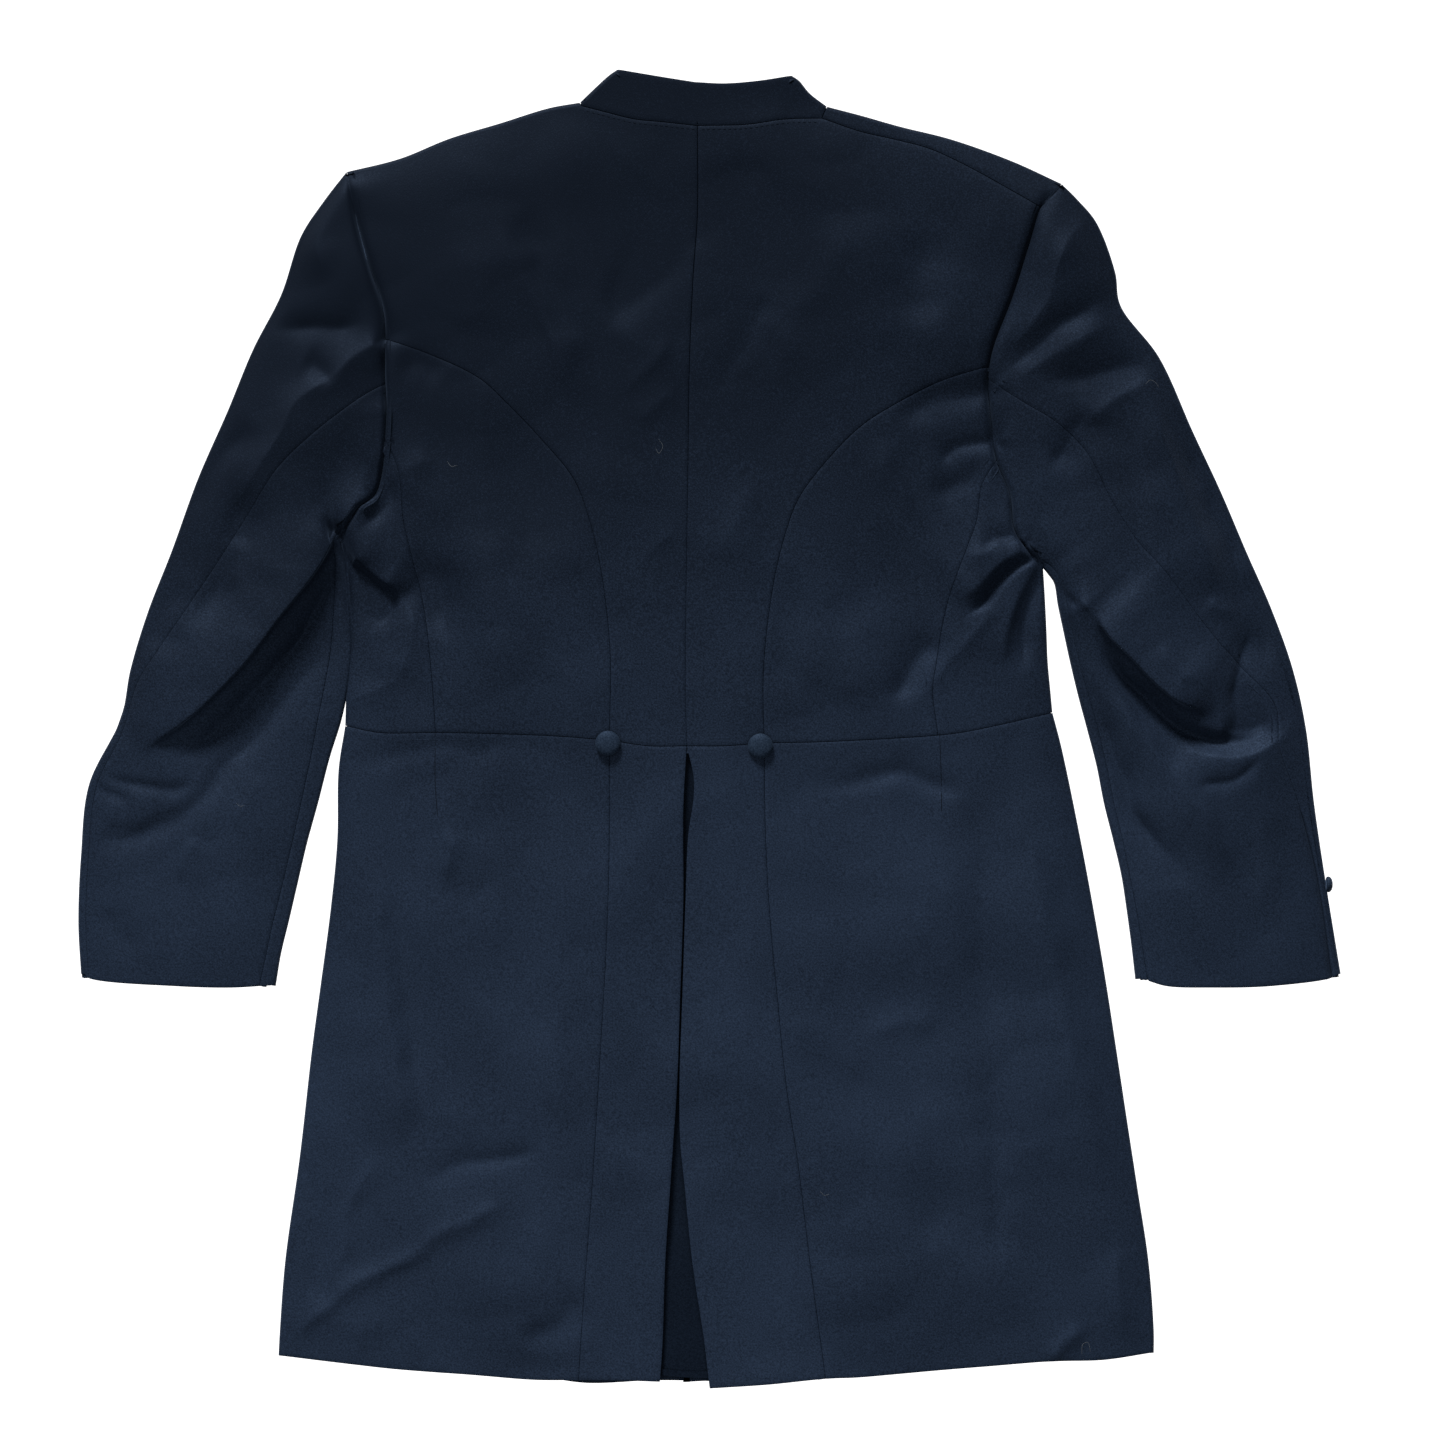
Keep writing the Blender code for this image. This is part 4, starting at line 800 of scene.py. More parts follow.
def surface(plan, edges, seams=()):
    """Outer points of the upper cloth over a plan grid."""
    flat = plan.reshape(-1, 2)
    x, y = flat[:, 0], flat[:, 1]
    wandered = flat + np.stack([wander_x(x, y), wander_y(x, y)], axis=1)
    edge_distance = distance_to_edges(flat, edges)
    z, centre = swelling(x, y, 1 - np.exp(-edge_distance / PLATEAU_LENGTH))
    reach = 1 - np.exp(-edge_distance / FOLD_LENGTH)
    shift = np.zeros_like(flat)
    for fold in FOLDS:
        add_fold(fold, flat, wandered, reach, z, shift)
    for groove, depth, width in GROOVES:
        spots, away, part = close_to(flat, groove, GROOVE_FAR * width)
        deep = depth * smoothstep(0, GROOVE_START, part) * reach[spots]
        z[spots] -= deep * np.exp(-(away / width) ** GROOVE_EDGE)
    lowest = LOWEST + (EDGE_HEIGHT + PLATEAU_BODY - UNDER_VENT - LOWEST) * centre
    z = lowest + np.logaddexp(0, (z - lowest) / SHARPNESS) * SHARPNESS
    for seam in seams:
        spots, away, _ = close_to(flat, seam, SEAM_FAR * SEAM_WIDTH)
        z[spots] -= SEAM_DEPTH * np.exp(-(away / SEAM_WIDTH) ** SEAM_EDGE)
    return np.dstack([(flat + shift).reshape(plan.shape), z.reshape(plan.shape[:-1])])


print("height at the middle of the back:", surface(np.array([[[0.0, 150.0]]]), [])[0, 0, 2].round(1), "mm")

# %% [markdown]
# ## Layers and rolled edges
# A laid coat has an upper and a lower layer, and round each side the cloth rolls from one to the
# other. A bend is half an ellipse at each point of the edge, as tall as the two layers are apart.
# Each seam is made once and given to both pieces that meet there, with the same points.

# %% Layers and bends
LAP_RISE = CLOTH + SEAM_GAP  # one front lies this much higher where it laps over the other
LAP_HALF = 20.0  # half the width of the lap at the centre front
LAP_SLOPE = 26.0  # length over which the lapping front comes down to the floor
BEND_STEPS = 8


def lap(x):
    """Height of the right front above the floor: it lies on the left one at the centre front."""
    return LAP_RISE * (1 - smoothstep(LAP_HALF + LAP_SLOPE, LAP_HALF + 2 * LAP_SLOPE, x))


def rise_of(side):
    """What the lower layer of a half lies on: the right front laps over the left one."""
    return None if side.sign > 0 else lap


def upper(plan, edges, seams=()):
    """Outer points and the way to the inner face, for a patch of the upper cloth."""
    outer = surface(plan, edges, seams)
    normal = np.cross(np.gradient(outer, axis=0), np.gradient(outer, axis=1))
    normal /= np.linalg.norm(normal, axis=2, keepdims=True)
    return outer, -normal * np.sign(normal[..., 2:])


def lower(plan, rise=None):
    """The same for a patch that lies on the floor, or on what rise says."""
    z = np.zeros(plan.shape[:-1]) if rise is None else rise(plan[..., 0])
    outer = np.dstack([plan, z])
    return outer, np.zeros_like(outer) + (0, 0, 1)


def bend(edge, edges, seams, rise=None, start=True):
    """The rolled edge between the upper and the lower cloth: half an ellipse at each point."""
    spots = close_rows(len(edge.points), start=start)
    edge = Edge(between(edge.points, spots, 0), between(edge.inward, spots, 0))
    flat_start = inset(edge)
    top = surface(flat_start[None], edges, seams)[0]
    bottom = np.zeros(len(top)) if rise is None else rise(flat_start[:, 0])
    middle, tall = (top[:, 2] + bottom) / 2, (top[:, 2] - bottom) / 2
    rows, ways = [], []
    for angle in np.linspace(math.pi / 2, -math.pi / 2, BEND_STEPS + 1):
        share = (1 + math.sin(angle)) / 2
        plan = share * top[:, :2] + (1 - share) * flat_start - EDGE_RADIUS * math.cos(angle) * edge.inward
        rows.append(np.column_stack([plan, middle + tall * math.sin(angle)]))
        ways.append(np.column_stack([math.cos(angle) * edge.inward, np.full(len(plan), -math.sin(angle))]))
    return np.array(rows), np.array(ways)


# %% Seams that two pieces share
SECTION_STEPS = 25
PRINCESS_STEPS = 150
SKIRT_STEPS = 150
SHOULDER_STEPS = 44
NECK_STEPS = 22
COLLAR_STEPS = 14
UNDER_ARMHOLE_STEPS = 24
ARMHOLE_STEPS = (40, 26, 44, 56, 9)
ARMPIT_NORMAL = (0, 1)
COLLAR_NORMAL = (1, -0.13)  # along the top edge of the collar


def rolled_edges(side):
    """The three stretches of one half where the cloth goes round from the upper to the lower layer."""
    outer_line = smooth_line([row.outer for row in side.sections], SECTION_STEPS)
    inner_line = smooth_line([row.inner for row in side.sections], SECTION_STEPS)
    collar, shoulder, sleeve_outer = split_edge(
        [curve(side.collar_edge, COLLAR_STEPS), curve(side.shoulder_edge, SHOULDER_STEPS), outer_line],
        side.sign, np.multiply(COLLAR_NORMAL, (side.sign, 1)))
    bodice, skirt = split_edge(
        [curve(side.bodice_edge, PRINCESS_STEPS), curve(side.skirt_edge, SKIRT_STEPS)],
        side.sign, ARMPIT_NORMAL)
    sleeve_inner, = split_edge([inner_line], -side.sign, ARMPIT_NORMAL)
    return SimpleNamespace(collar=collar, shoulder=shoulder, sleeve_outer=sleeve_outer,
                           bodice=bodice, skirt=skirt, sleeve_inner=sleeve_inner)


def upper_seams(side, rolled):
    """The seams of the upper layer, each cut into its steps once, for both pieces that meet at it."""
    shoulder_point, armpit = inset(rolled.shoulder)[-1], inset(rolled.sleeve_inner)[0]
    line = SimpleNamespace()
    stops = [side.princess_at, side.hind_at, side.second_at, side.fore_at]
    if side.sign > 0:
        line.over_shoulder = None
        parts = stretches([shoulder_point, *side.armhole, armpit], stops, ARMHOLE_STEPS)
        line.to_hind_all = join(*parts[:2])
    else:
        seam_end = side.shoulder_seam[-1]
        line.over_shoulder, *parts = stretches(
            [shoulder_point, *side.armhole, armpit], [seam_end, *stops], (1, *ARMHOLE_STEPS))
        line.to_hind_all = join(line.over_shoulder, *parts[:2])
    line.to_princess, line.to_hind, line.to_second, line.to_fore, line.to_armpit = parts

    line.princess = curve([line.to_princess[-1], *side.princess[1:]], PRINCESS_STEPS)
    line.second = curve([line.to_second[-1], *side.second[1:]], PRINCESS_STEPS)
    line.centre_back = curve(CENTRE_BACK, PRINCESS_STEPS + len(line.to_princess) - 1)
    line.skirt_princess = curve([line.princess[-1], *side.skirt_princess[1:]], SKIRT_STEPS)
    line.vent = curve([line.centre_back[-1], *side.vent[1:]], SKIRT_STEPS)

    flap_steps = len(line.to_fore) + len(line.to_armpit) - 2
    side_steps = len(line.to_hind) + len(line.to_second) - 2
    back_steps = NECK_STEPS + SHOULDER_STEPS
    line.waist_flap, line.waist_side, line.waist_back = meet(
        stretches([inset(rolled.skirt)[0], *side.waist], [line.second[-1], line.princess[-1]],
                  [flap_steps, side_steps, back_steps]),
        [line.second[-1], line.princess[-1], line.centre_back[-1]])
    line.hem_side, line.hem_back = meet(
        stretches([inset(rolled.skirt)[-1], *side.hem], [line.skirt_princess[-1]],
                  [flap_steps + side_steps, back_steps]),
        [line.skirt_princess[-1], line.vent[-1]])

    line.hind = smooth_line([line.to_hind[-1], *[row.hind for row in side.sections[1:]]], SECTION_STEPS)
    line.fore = smooth_line([line.to_fore[-1], *[row.fore for row in side.sections[1:]]], SECTION_STEPS)
    cuff_ends = inset(rolled.sleeve_outer)[-1], inset(rolled.sleeve_inner)[-1]
    steps = [len(line.to_hind_all) - 1, len(line.to_second) + len(line.to_fore) - 2, len(line.to_armpit) - 1]
    line.cuff_parts = meet(
        stretches([cuff_ends[0], *side.cuff[:-1], cuff_ends[1]], [line.hind[-1], line.fore[-1]], steps),
        [line.hind[-1], line.fore[-1], cuff_ends[1]])
    return line


def lower_seams(side, rolled, line):
    """The seams of the lower layer, added to those of the upper one."""
    shoulder_point, armpit = inset(rolled.shoulder)[-1], inset(rolled.sleeve_inner)[0]
    neck_point = inset(rolled.shoulder)[0]
    line.shoulder_seam = curve(side.shoulder_seam, SHOULDER_STEPS)
    under_armhole = [shoulder_point, *side.under_armhole, armpit]
    if side.sign > 0:
        over, line.under_armhole = stretches(
            under_armhole, [line.shoulder_seam[-1]], [1, UNDER_ARMHOLE_STEPS])
        line.shoulder_seam[-1] = over[-1]
        line.under_armhole_all = join(over, line.under_armhole)
        line.neck = curve([neck_point, *side.neck], NECK_STEPS)
        under_neck_start = line.shoulder_seam[0]
    else:
        line.under_armhole_all = line.under_armhole = curve(under_armhole, UNDER_ARMHOLE_STEPS + 1)
        line.shoulder_seam[-1] = line.over_shoulder[-1]
        line.neck = curve([line.shoulder_seam[0], *side.neck], NECK_STEPS)
        under_neck_start = neck_point
    line.neck_point = neck_point
    line.under_neck, line.neck_lap = stretches(
        [under_neck_start, *side.under_neck], [side.under_neck[-2]], [NECK_STEPS - 1, 1])
    back_steps = NECK_STEPS + SHOULDER_STEPS
    line.under_waist = curve([inset(rolled.skirt)[0], *side.under_waist], back_steps)
    line.under_hem = curve([inset(rolled.skirt)[-1], *side.under_hem], back_steps)
    return line


# %% Seam allowances
SHELL = 1.3  # thickness of the cloth that is drawn
ALLOWANCE = 4.0  # width of each side of a seam that lies open beneath it
CORNER_STEPS = 3  # an allowance ends this many steps before a corner where it would meet another


def allowance(line, edges):
    """The pressed open allowances under a seam, which close the gap between two pieces."""
    across = directions(line)[1]
    plan = np.stack([line + offset * across for offset in (-ALLOWANCE, 0, ALLOWANCE)])
    outer, way = upper(plan, edges)
    return outer - (0, 0, SHELL + SEAM_DEPTH), way


# %% [markdown]
# ## The pieces of cloth
# Each piece is laid between its seams. A front, a skirt and a top sleeve go round an edge of the
# coat, so they are an upper part, a rolled bend and a lower part that share their borders. The
# upper ones also list the seams at their sides, where the cloth rolls down into the stitching.

# %% Back and side body
WRAP_STEPS = 6  # across the strip between the rolled shoulder and its seam


def shoulder_roll(side, rolled, line, edges, seams):
    """The rolled shoulder and the strip beyond it, as far as the shoulder seam."""
    wrap = np.stack([inset(rolled.shoulder), line.shoulder_seam])
    wrap = between(wrap, np.linspace(0, 1, WRAP_STEPS + 1), 0)
    wrap = between(wrap, close_rows(wrap.shape[1], start=False), 1)
    strip = lower(wrap) if side.sign > 0 else upper(wrap, edges, seams)
    return [bend(rolled.shoulder, edges, seams, start=False), strip]


def build_back(side, rolled, line, edges):
    left_half = side.sign > 0
    to_princess = join(line.to_princess, line.princess)
    shoulder = inset(rolled.shoulder) if left_half else line.shoulder_seam
    plan = patch(low=np.flip(line.waist_back, 0), high=join(np.flip(line.neck, 0), shoulder),
                 left=np.flip(line.centre_back, 0), right=np.flip(to_princess, 0))
    seams = [line.waist_back, line.neck, line.centre_back, to_princess]
    patches = [upper(seamed(plan), edges, seams + ([] if left_half else [line.shoulder_seam])),
               allowance(to_princess, edges), allowance(line.neck[:-CORNER_STEPS], edges)]
    if left_half:
        patches += [allowance(line.centre_back, edges), *shoulder_roll(side, rolled, line, edges, seams)]
    return patches


def build_side_body(side, rolled, line, edges):
    to_side = join(line.to_hind, line.to_second)
    plan = patch(low=line.waist_side, high=np.flip(to_side, 0),
                 left=np.flip(line.second, 0), right=np.flip(line.princess, 0))
    return [upper(seamed(plan), edges, [line.waist_side, to_side, line.second, line.princess]),
            allowance(line.second, edges), allowance(to_side[:-CORNER_STEPS], edges)]


# %% Front
def build_front(side, rolled, line, edges):
    left_half = side.sign > 0
    to_armpit = join(line.to_fore, line.to_armpit)
    side_edge = inset(rolled.bodice)
    flap = patch(low=line.waist_flap, high=np.flip(to_armpit, 0),
                 left=np.flip(side_edge, 0), right=np.flip(line.second, 0))
    shoulder = line.shoulder_seam if left_half else inset(rolled.shoulder)
    rows = PRINCESS_STEPS + len(line.under_armhole) - 1
    under = patch(low=line.under_waist, high=join(np.flip(shoulder, 0), line.under_neck, line.neck_lap),
                  left=np.flip(join(line.under_armhole, side_edge), 0),
                  right=straight(line.under_waist[-1], line.neck_lap[-1], rows))
    seams = [line.waist_flap, to_armpit, line.second]
    patches = [upper(seamed(flap), edges, seams), bend(rolled.bodice, edges, seams, rise_of(side)),
               lower(seamed(under, also=[PRINCESS_STEPS]), rise_of(side))]
    if not left_half:
        patches += shoulder_roll(side, rolled, line, edges, [line.shoulder_seam, line.to_princess])
    return patches


# %% Skirts
def build_skirt_back(side, rolled, line, edges):
    plan = patch(low=line.hem_back, high=line.waist_back,
                 left=np.flip(line.skirt_princess, 0), right=np.flip(line.vent, 0))
    seams = [line.hem_back, line.waist_back, line.skirt_princess, line.vent]
    return [upper(seamed(plan), edges, seams),
            allowance(line.waist_back, edges), allowance(line.skirt_princess, edges)]


def build_skirt(side, rolled, line, edges):
    waist = join(line.waist_flap, line.waist_side)
    side_edge = np.flip(inset(rolled.skirt), 0)
    plan = patch(low=line.hem_side, high=waist, left=side_edge, right=np.flip(line.skirt_princess, 0))
    under = patch(low=line.under_hem, high=line.under_waist, left=side_edge,
                  right=straight(line.under_hem[-1], line.under_waist[-1], SKIRT_STEPS))
    seams = [line.hem_side, waist, line.skirt_princess]
    waist_end = rolled.skirt.points[:1] + rolled.skirt.inward[:1]
    return [upper(seamed(plan), edges, seams), allowance(np.concatenate([waist_end, waist]), edges),
            bend(rolled.skirt, edges, seams, rise_of(side)), lower(seamed(under), rise_of(side))]


# %% Sleeves
def build_under_sleeve(side, rolled, line, edges):
    to_fore, cuff = join(line.to_second, line.to_fore), line.cuff_parts[1]
    plan = patch(low=to_fore, high=cuff, left=line.hind, right=line.fore)
    return [upper(seamed(plan), edges, [to_fore, cuff, line.hind, line.fore]),
            allowance(line.hind, edges), allowance(line.fore, edges)]


def build_top_sleeve(side, rolled, line, edges):
    outer, inner = inset(rolled.sleeve_outer), inset(rolled.sleeve_inner)
    cuff_outer, _, cuff_inner = line.cuff_parts
    outer_strip = patch(low=line.to_hind_all, high=cuff_outer, left=outer, right=line.hind)
    inner_strip = patch(low=line.to_armpit, high=cuff_inner, left=line.fore, right=inner)
    cuff = evenly(join(*line.cuff_parts), len(line.under_armhole_all) - 1)
    below = patch(low=line.under_armhole_all, high=cuff, left=outer, right=inner)
    outer_seams = [line.to_hind_all, cuff_outer, line.hind]
    inner_seams = [line.to_armpit, cuff_inner, line.fore]
    return [upper(seamed(outer_strip), edges, outer_seams), bend(rolled.sleeve_outer, edges, outer_seams),
            lower(seamed(below)),
            bend(rolled.sleeve_inner, edges, inner_seams), upper(seamed(inner_strip), edges, inner_seams)]


# %% Collar
OVER_SEAM_STEPS = 6  # from the neck point to the shoulder seam


def build_collar(side, rolled, line, edges):
    """One half of the stand collar: its back on top, its rolled end, and its front underneath."""
    left_half = side.sign > 0
    end = inset(rolled.collar)
    over_seam = straight(line.neck_point, line.shoulder_seam[0], OVER_SEAM_STEPS)
    back_base = line.neck if left_half else join(over_seam, line.neck)
    front_base = join(over_seam, line.under_neck) if left_half else line.under_neck
    back_top = curve([end[0], *side.collar_top], len(back_base) - 1)
    front_top = curve([end[0], *side.under_collar_top], len(front_base) - 1)
    back, front = (
        patch(low=top, high=base, left=end, right=straight(top[-1], base[-1], COLLAR_STEPS))
        for top, base in ((back_top, back_base), (front_top, front_base)))
    seams = [back_top, back_base]
    base_end = rolled.collar.points[-1:] + rolled.collar.inward[-1:]
    return [upper(seamed(back), edges, seams), lower(seamed(front), rise_of(side)),
            bend(rolled.collar, edges, seams, rise_of(side)),
            allowance(np.concatenate([base_end, back_base]), edges)]


# %% [markdown]
# ## From patches to cloth
# The patches of a piece are welded where they share points. Each free border is drawn back by half a
# seam gap, goes down by the thickness of the cloth and turns in underneath, as a hem or a seam
# allowance does. So the cloth is one thin shell without a hidden second face. NumPy does this for
# all points at once, because Blender's own loops would take minutes.

# %% Weld the patches
ROUNDING = 2  # decimals of a millimetre to which shared points agree
OFF_ROUNDING = 0.00137  # keeps the points of a smooth line off the steps of that rounding
SHORTEST_WAY = 0.8  # keeps the point of a sharp corner from moving too far


def welded(patches):
    """Points, ways to the inner side and quads of the patches of one piece."""
    points, ways, quads, used = [], [], [], 0
    for outer, way in patches:
        rows, columns = outer.shape[:2]
        index = np.arange(rows * columns).reshape(rows, columns)
        corners = [index[:-1, :-1], index[:-1, 1:], index[1:, 1:], index[1:, :-1]]
        own = np.stack(corners, axis=2).reshape(-1, 4)
        flat, inward = outer.reshape(-1, 3), way.reshape(-1, 3)
        facing = np.cross(flat[own[:, 2]] - flat[own[:, 0]], flat[own[:, 3]] - flat[own[:, 1]])
        if (facing * inward[own].sum(axis=1)).sum() > 0:
            own = own[:, ::-1]
        quads.append(own + used)
        points.append(flat)
        ways.append(inward)
        used += rows * columns
    points, ways, quads = np.concatenate(points), np.concatenate(ways), np.concatenate(quads)
    rounded = np.round(points + OFF_ROUNDING, ROUNDING)
    _, first, same = np.unique(rounded, axis=0, return_index=True, return_inverse=True)
    return points[first], ways[first], same.ravel()[quads]


def free_borders(quads, count):
    """Sides of quads that no other quad shares, and the quads that they belong to."""
    start, end = quads.reshape(-1), np.roll(quads, -1, axis=1).reshape(-1)
    owner = np.repeat(np.arange(len(quads)), 4)
    free = (start != end) & ~np.isin(start * count + end, end * count + start)
    return start[free], end[free], owner[free]


def ways_in(points, quads, start, end, owner):
    """For each point of a free border, the way along the cloth to its inside."""
    along = points[end] - points[start]
    along /= np.linalg.norm(along, axis=1)[:, None]
    inside = points[quads[owner]].mean(axis=1) - points[start]
    inside -= along * (inside * along).sum(axis=1)[:, None]
    inside /= np.linalg.norm(inside, axis=1)[:, None]
    total = np.zeros_like(points)
    np.add.at(total, start, inside)
    np.add.at(total, end, inside)
    return total / np.maximum(np.linalg.norm(total, axis=1, keepdims=True), SHORTEST_WAY)


# %% Turn in the borders
DRAWN_GAP = 0.6  # the seams of the drawn cloth gape a little more than those of the solids
TURNED_IN = 5.0  # width of the cloth turned in under an edge
SHARP_FROM = math.radians(80)  # a border steeper than this is drawn as a crease


def turned_in(points, ways, quads):
    """Points and quads of the sheet, with its free borders drawn back, taken down and turned in."""
    start, end, owner = free_borders(quads, len(points))
    inside = ways_in(points, quads, start, end, owner)
    points = points + inside * DRAWN_GAP / 2
    points[:, 2] = np.maximum(points[:, 2], 0)
    rim, place = np.unique(np.concatenate([start, end]), return_inverse=True)
    start_low, end_low = len(points) + place[:len(start)], len(points) + place[len(start):]
    rim_low = points[rim] + ways[rim] * SHELL
    rim_in = rim_low + inside[rim] * TURNED_IN
    walls = np.stack([end, start, start_low, end_low], axis=1)
    turned = np.stack([end_low, start_low, start_low + len(rim), end_low + len(rim)], axis=1)
    return np.concatenate([points, rim_low, rim_in]), np.concatenate([quads, walls, turned])


def make_cloth(name, patches, material):
    """One piece of cloth, and its area in square metres."""
    points, quads = turned_in(*welded(patches))
    corners = points[quads]
    crossed = np.cross(corners[:, 2] - corners[:, 0], corners[:, 3] - corners[:, 1])
    area = np.linalg.norm(crossed, axis=1).sum() / 2
    faces = [list(dict.fromkeys(quad)) for quad in quads.tolist()]
    faces = [face for face in faces if len(face) > 2]
    piece = mesh_object(name, (points * MM).tolist(), faces, material, coat)
    piece.data.validate()
    piece.data.shade_smooth()
    piece.data.set_sharp_from_angle(angle=SHARP_FROM)
    return piece, area * MM * MM


# %% [markdown]
# ## The wool
# The cloth is a fine worsted twill, nearly black navy. From where the camera stands the ribs of the
# twill are finer than a picture element, so they show as a soft grain and a faint sheen. One node
# group makes the ribs, the grain, the slow random changes of shade and a painted shade, and every
# cloth material uses it with its own values. The painted shade is a broad mask that darkens the
# wool over the upper back, more on the left than on the right. Every crease gets painted shade too:
# an ambient occlusion node finds such places from the form of the cloth alone, from any side, and
# mixes a darker colour in there.

# %% Helpers for nodes
def feed(tree, socket, value):
    """Link a socket to another, or give it a value."""
    if isinstance(value, bpy.types.NodeSocket):
        tree.links.new(value, socket)
    else:
        socket.default_value = value


def add_node(tree, kind, settings=(), **inputs):
    """A node with its settings, and with its named inputs fed. An underscore stands for a space."""
    node = tree.nodes.new(kind)
    for key, value in dict(settings).items():
        setattr(node, key, value)
    for key, value in inputs.items():
        feed(tree, node.inputs[key.replace("_", " ")], value)
    return node


def calculate(tree, operation, *values):
    """The result of a Math node."""
    node = add_node(tree, "ShaderNodeMath", {"operation": operation})
    for socket, value in zip(node.inputs, values):
        feed(tree, socket, value)
    return node.outputs[0]


def remap(tree, value, start, end, low=0.0, high=1.0, kind="LINEAR"):
    """The result of a Map Range node."""
    node = add_node(tree, "ShaderNodeMapRange", {"interpolation_type": kind},
                    Value=value, From_Min=start, From_Max=end, To_Min=low, To_Max=high)
    return node.outputs["Result"]


def blend(tree, share, first, second):
    """The colour between two, from a Mix node."""
    node = add_node(tree, "ShaderNodeMix", {"data_type": "RGBA"}, Factor=share)
    feed(tree, node.inputs[6], first)
    feed(tree, node.inputs[7], second)
    return node.outputs[2]


# %% Twill node group
TWILL_ANGLE = math.radians(63)
RIB_DEPTH = 0.12  # beside the grain
# Noise of the fine nap and of the slow changes of shade
GRAIN = {"Scale": 820.0, "Detail": 1.0, "Roughness": 0.5}
SHADE = {"Scale": 9.0, "Detail": 4.0, "Roughness": 0.55}
GRAIN_SHARE, GRAIN_START, SHADE_SHARE = 0.8, 0.1, 0.4  # in the shade of the wool
TONE_RANGE = (0.40, 1.0)  # of that shade, from the dark colour to the light one
PAINTED_BACK_SHADE = (-0.18, 0.40, 0.0, -0.34)  # painted shade: between these heights on the coat the tone falls by this much
PAINTED_SHADE_LEFTWARD = (0.36, -0.36, 0.6, 1.4)  # and the painted shade falls by more on the left than on the right, by these factors
ROUGHNESS_RANGE = (0.2, 0.8, 0.72, 0.58)  # of the grain, and the roughness for it
TWILL_SOCKETS = [  # name, way, kind
    ("Rib Width", "INPUT", "NodeSocketFloat"), ("Colour", "INPUT", "NodeSocketColor"),
    ("Light Colour", "INPUT", "NodeSocketColor"), ("Colour", "OUTPUT", "NodeSocketColor"),
    ("Height", "OUTPUT", "NodeSocketFloat"), ("Roughness", "OUTPUT", "NodeSocketFloat"),
]


def build_twill():
    """Ribs, grain, random shade and painted shade of a worsted twill, from places in metres."""
    tree = bpy.data.node_groups.new("worsted_twill", "ShaderNodeTree")
    for name, way, kind in TWILL_SOCKETS:
        tree.interface.new_socket(name, in_out=way, socket_type=kind)
    given = tree.nodes.new("NodeGroupInput").outputs
    out = tree.nodes.new("NodeGroupOutput").inputs
    place = tree.nodes.new("ShaderNodeTexCoord").outputs["Object"]
    spot = add_node(tree, "ShaderNodeSeparateXYZ", Vector=place).outputs
    turned = add_node(tree, "ShaderNodeMapping", Vector=place, Rotation=(0, 0, TWILL_ANGLE)).outputs["Vector"]
    over_ribs = add_node(tree, "ShaderNodeSeparateXYZ", Vector=turned).outputs["X"]
    turns = calculate(tree, "MULTIPLY", calculate(tree, "DIVIDE", over_ribs, given["Rib Width"]), 2 * math.pi)
    grain, shade = (add_node(tree, "ShaderNodeTexNoise", Vector=place, **noise).outputs["Fac"]
                    for noise in (GRAIN, SHADE))
    ribs = calculate(tree, "MULTIPLY_ADD", calculate(tree, "SINE", turns), RIB_DEPTH, grain)
    fine = calculate(tree, "MULTIPLY_ADD", ribs, GRAIN_SHARE, GRAIN_START)
    both = calculate(tree, "MULTIPLY_ADD", shade, SHADE_SHARE, fine)
    # Painted shade: a broad mask darkens the upper back, and more so to the left
    painted_back_shade_mask = remap(tree, spot["Y"], *PAINTED_BACK_SHADE, "SMOOTHSTEP")
    painted_shade_leftward_mask = remap(tree, spot["X"], *PAINTED_SHADE_LEFTWARD, "SMOOTHSTEP")
    tone_and_painted_shade = calculate(tree, "MULTIPLY_ADD", painted_back_shade_mask, painted_shade_leftward_mask, both)
    share = remap(tree, tone_and_painted_shade, *TONE_RANGE)
    feed(tree, out["Colour"], blend(tree, share, given["Colour"], given["Light Colour"]))
    feed(tree, out["Height"], ribs)
    feed(tree, out["Roughness"], remap(tree, grain, *ROUGHNESS_RANGE))
    return tree


twill = build_twill()
print("nodes in the twill group:", len(twill.nodes))

# %% Cloth materials
Wool = namedtuple("Wool", "dark light shine", defaults=(1.0,))
NAVY = Wool((0.0007, 0.0013, 0.0029, 1.0), (0.0076, 0.0125, 0.0233, 1.0))
SHADED_PLEAT = Wool((0.0004, 0.0008, 0.0018, 1.0), (0.0026, 0.0044, 0.0082, 1.0), 0.4)  # a darker copy of the wool with less sheen and gloss: painted shade for the pleat
BUTTON = Wool((0.0014, 0.0032, 0.0066, 1.0), (0.0105, 0.0170, 0.0285, 1.0))  # lighter than the wool of the coat
PAINTED_CREASE_SHADE = (0.0003, 0.0005, 0.0010, 1.0)  # painted shade, mixed into the colour down in a crease
CREASE_REACH, CREASE_SAMPLES = 0.014, 4
CREASE_RANGE = (0.2, 0.85)  # of the share of open sky, from the deepest crease to the flat cloth
RIB_WIDTH = 0.0009
WOOL_ROUGHNESS = 0.6  # of the plain material, before the weave gives its own
RELIEF, RELIEF_DEPTH = 0.35, 0.0003
GLOSS = 0.10
SHEEN, SHEEN_SOFTNESS = 0.06, 0.45
SHEEN_TINT = (0.42, 0.62, 1.0, 1.0)


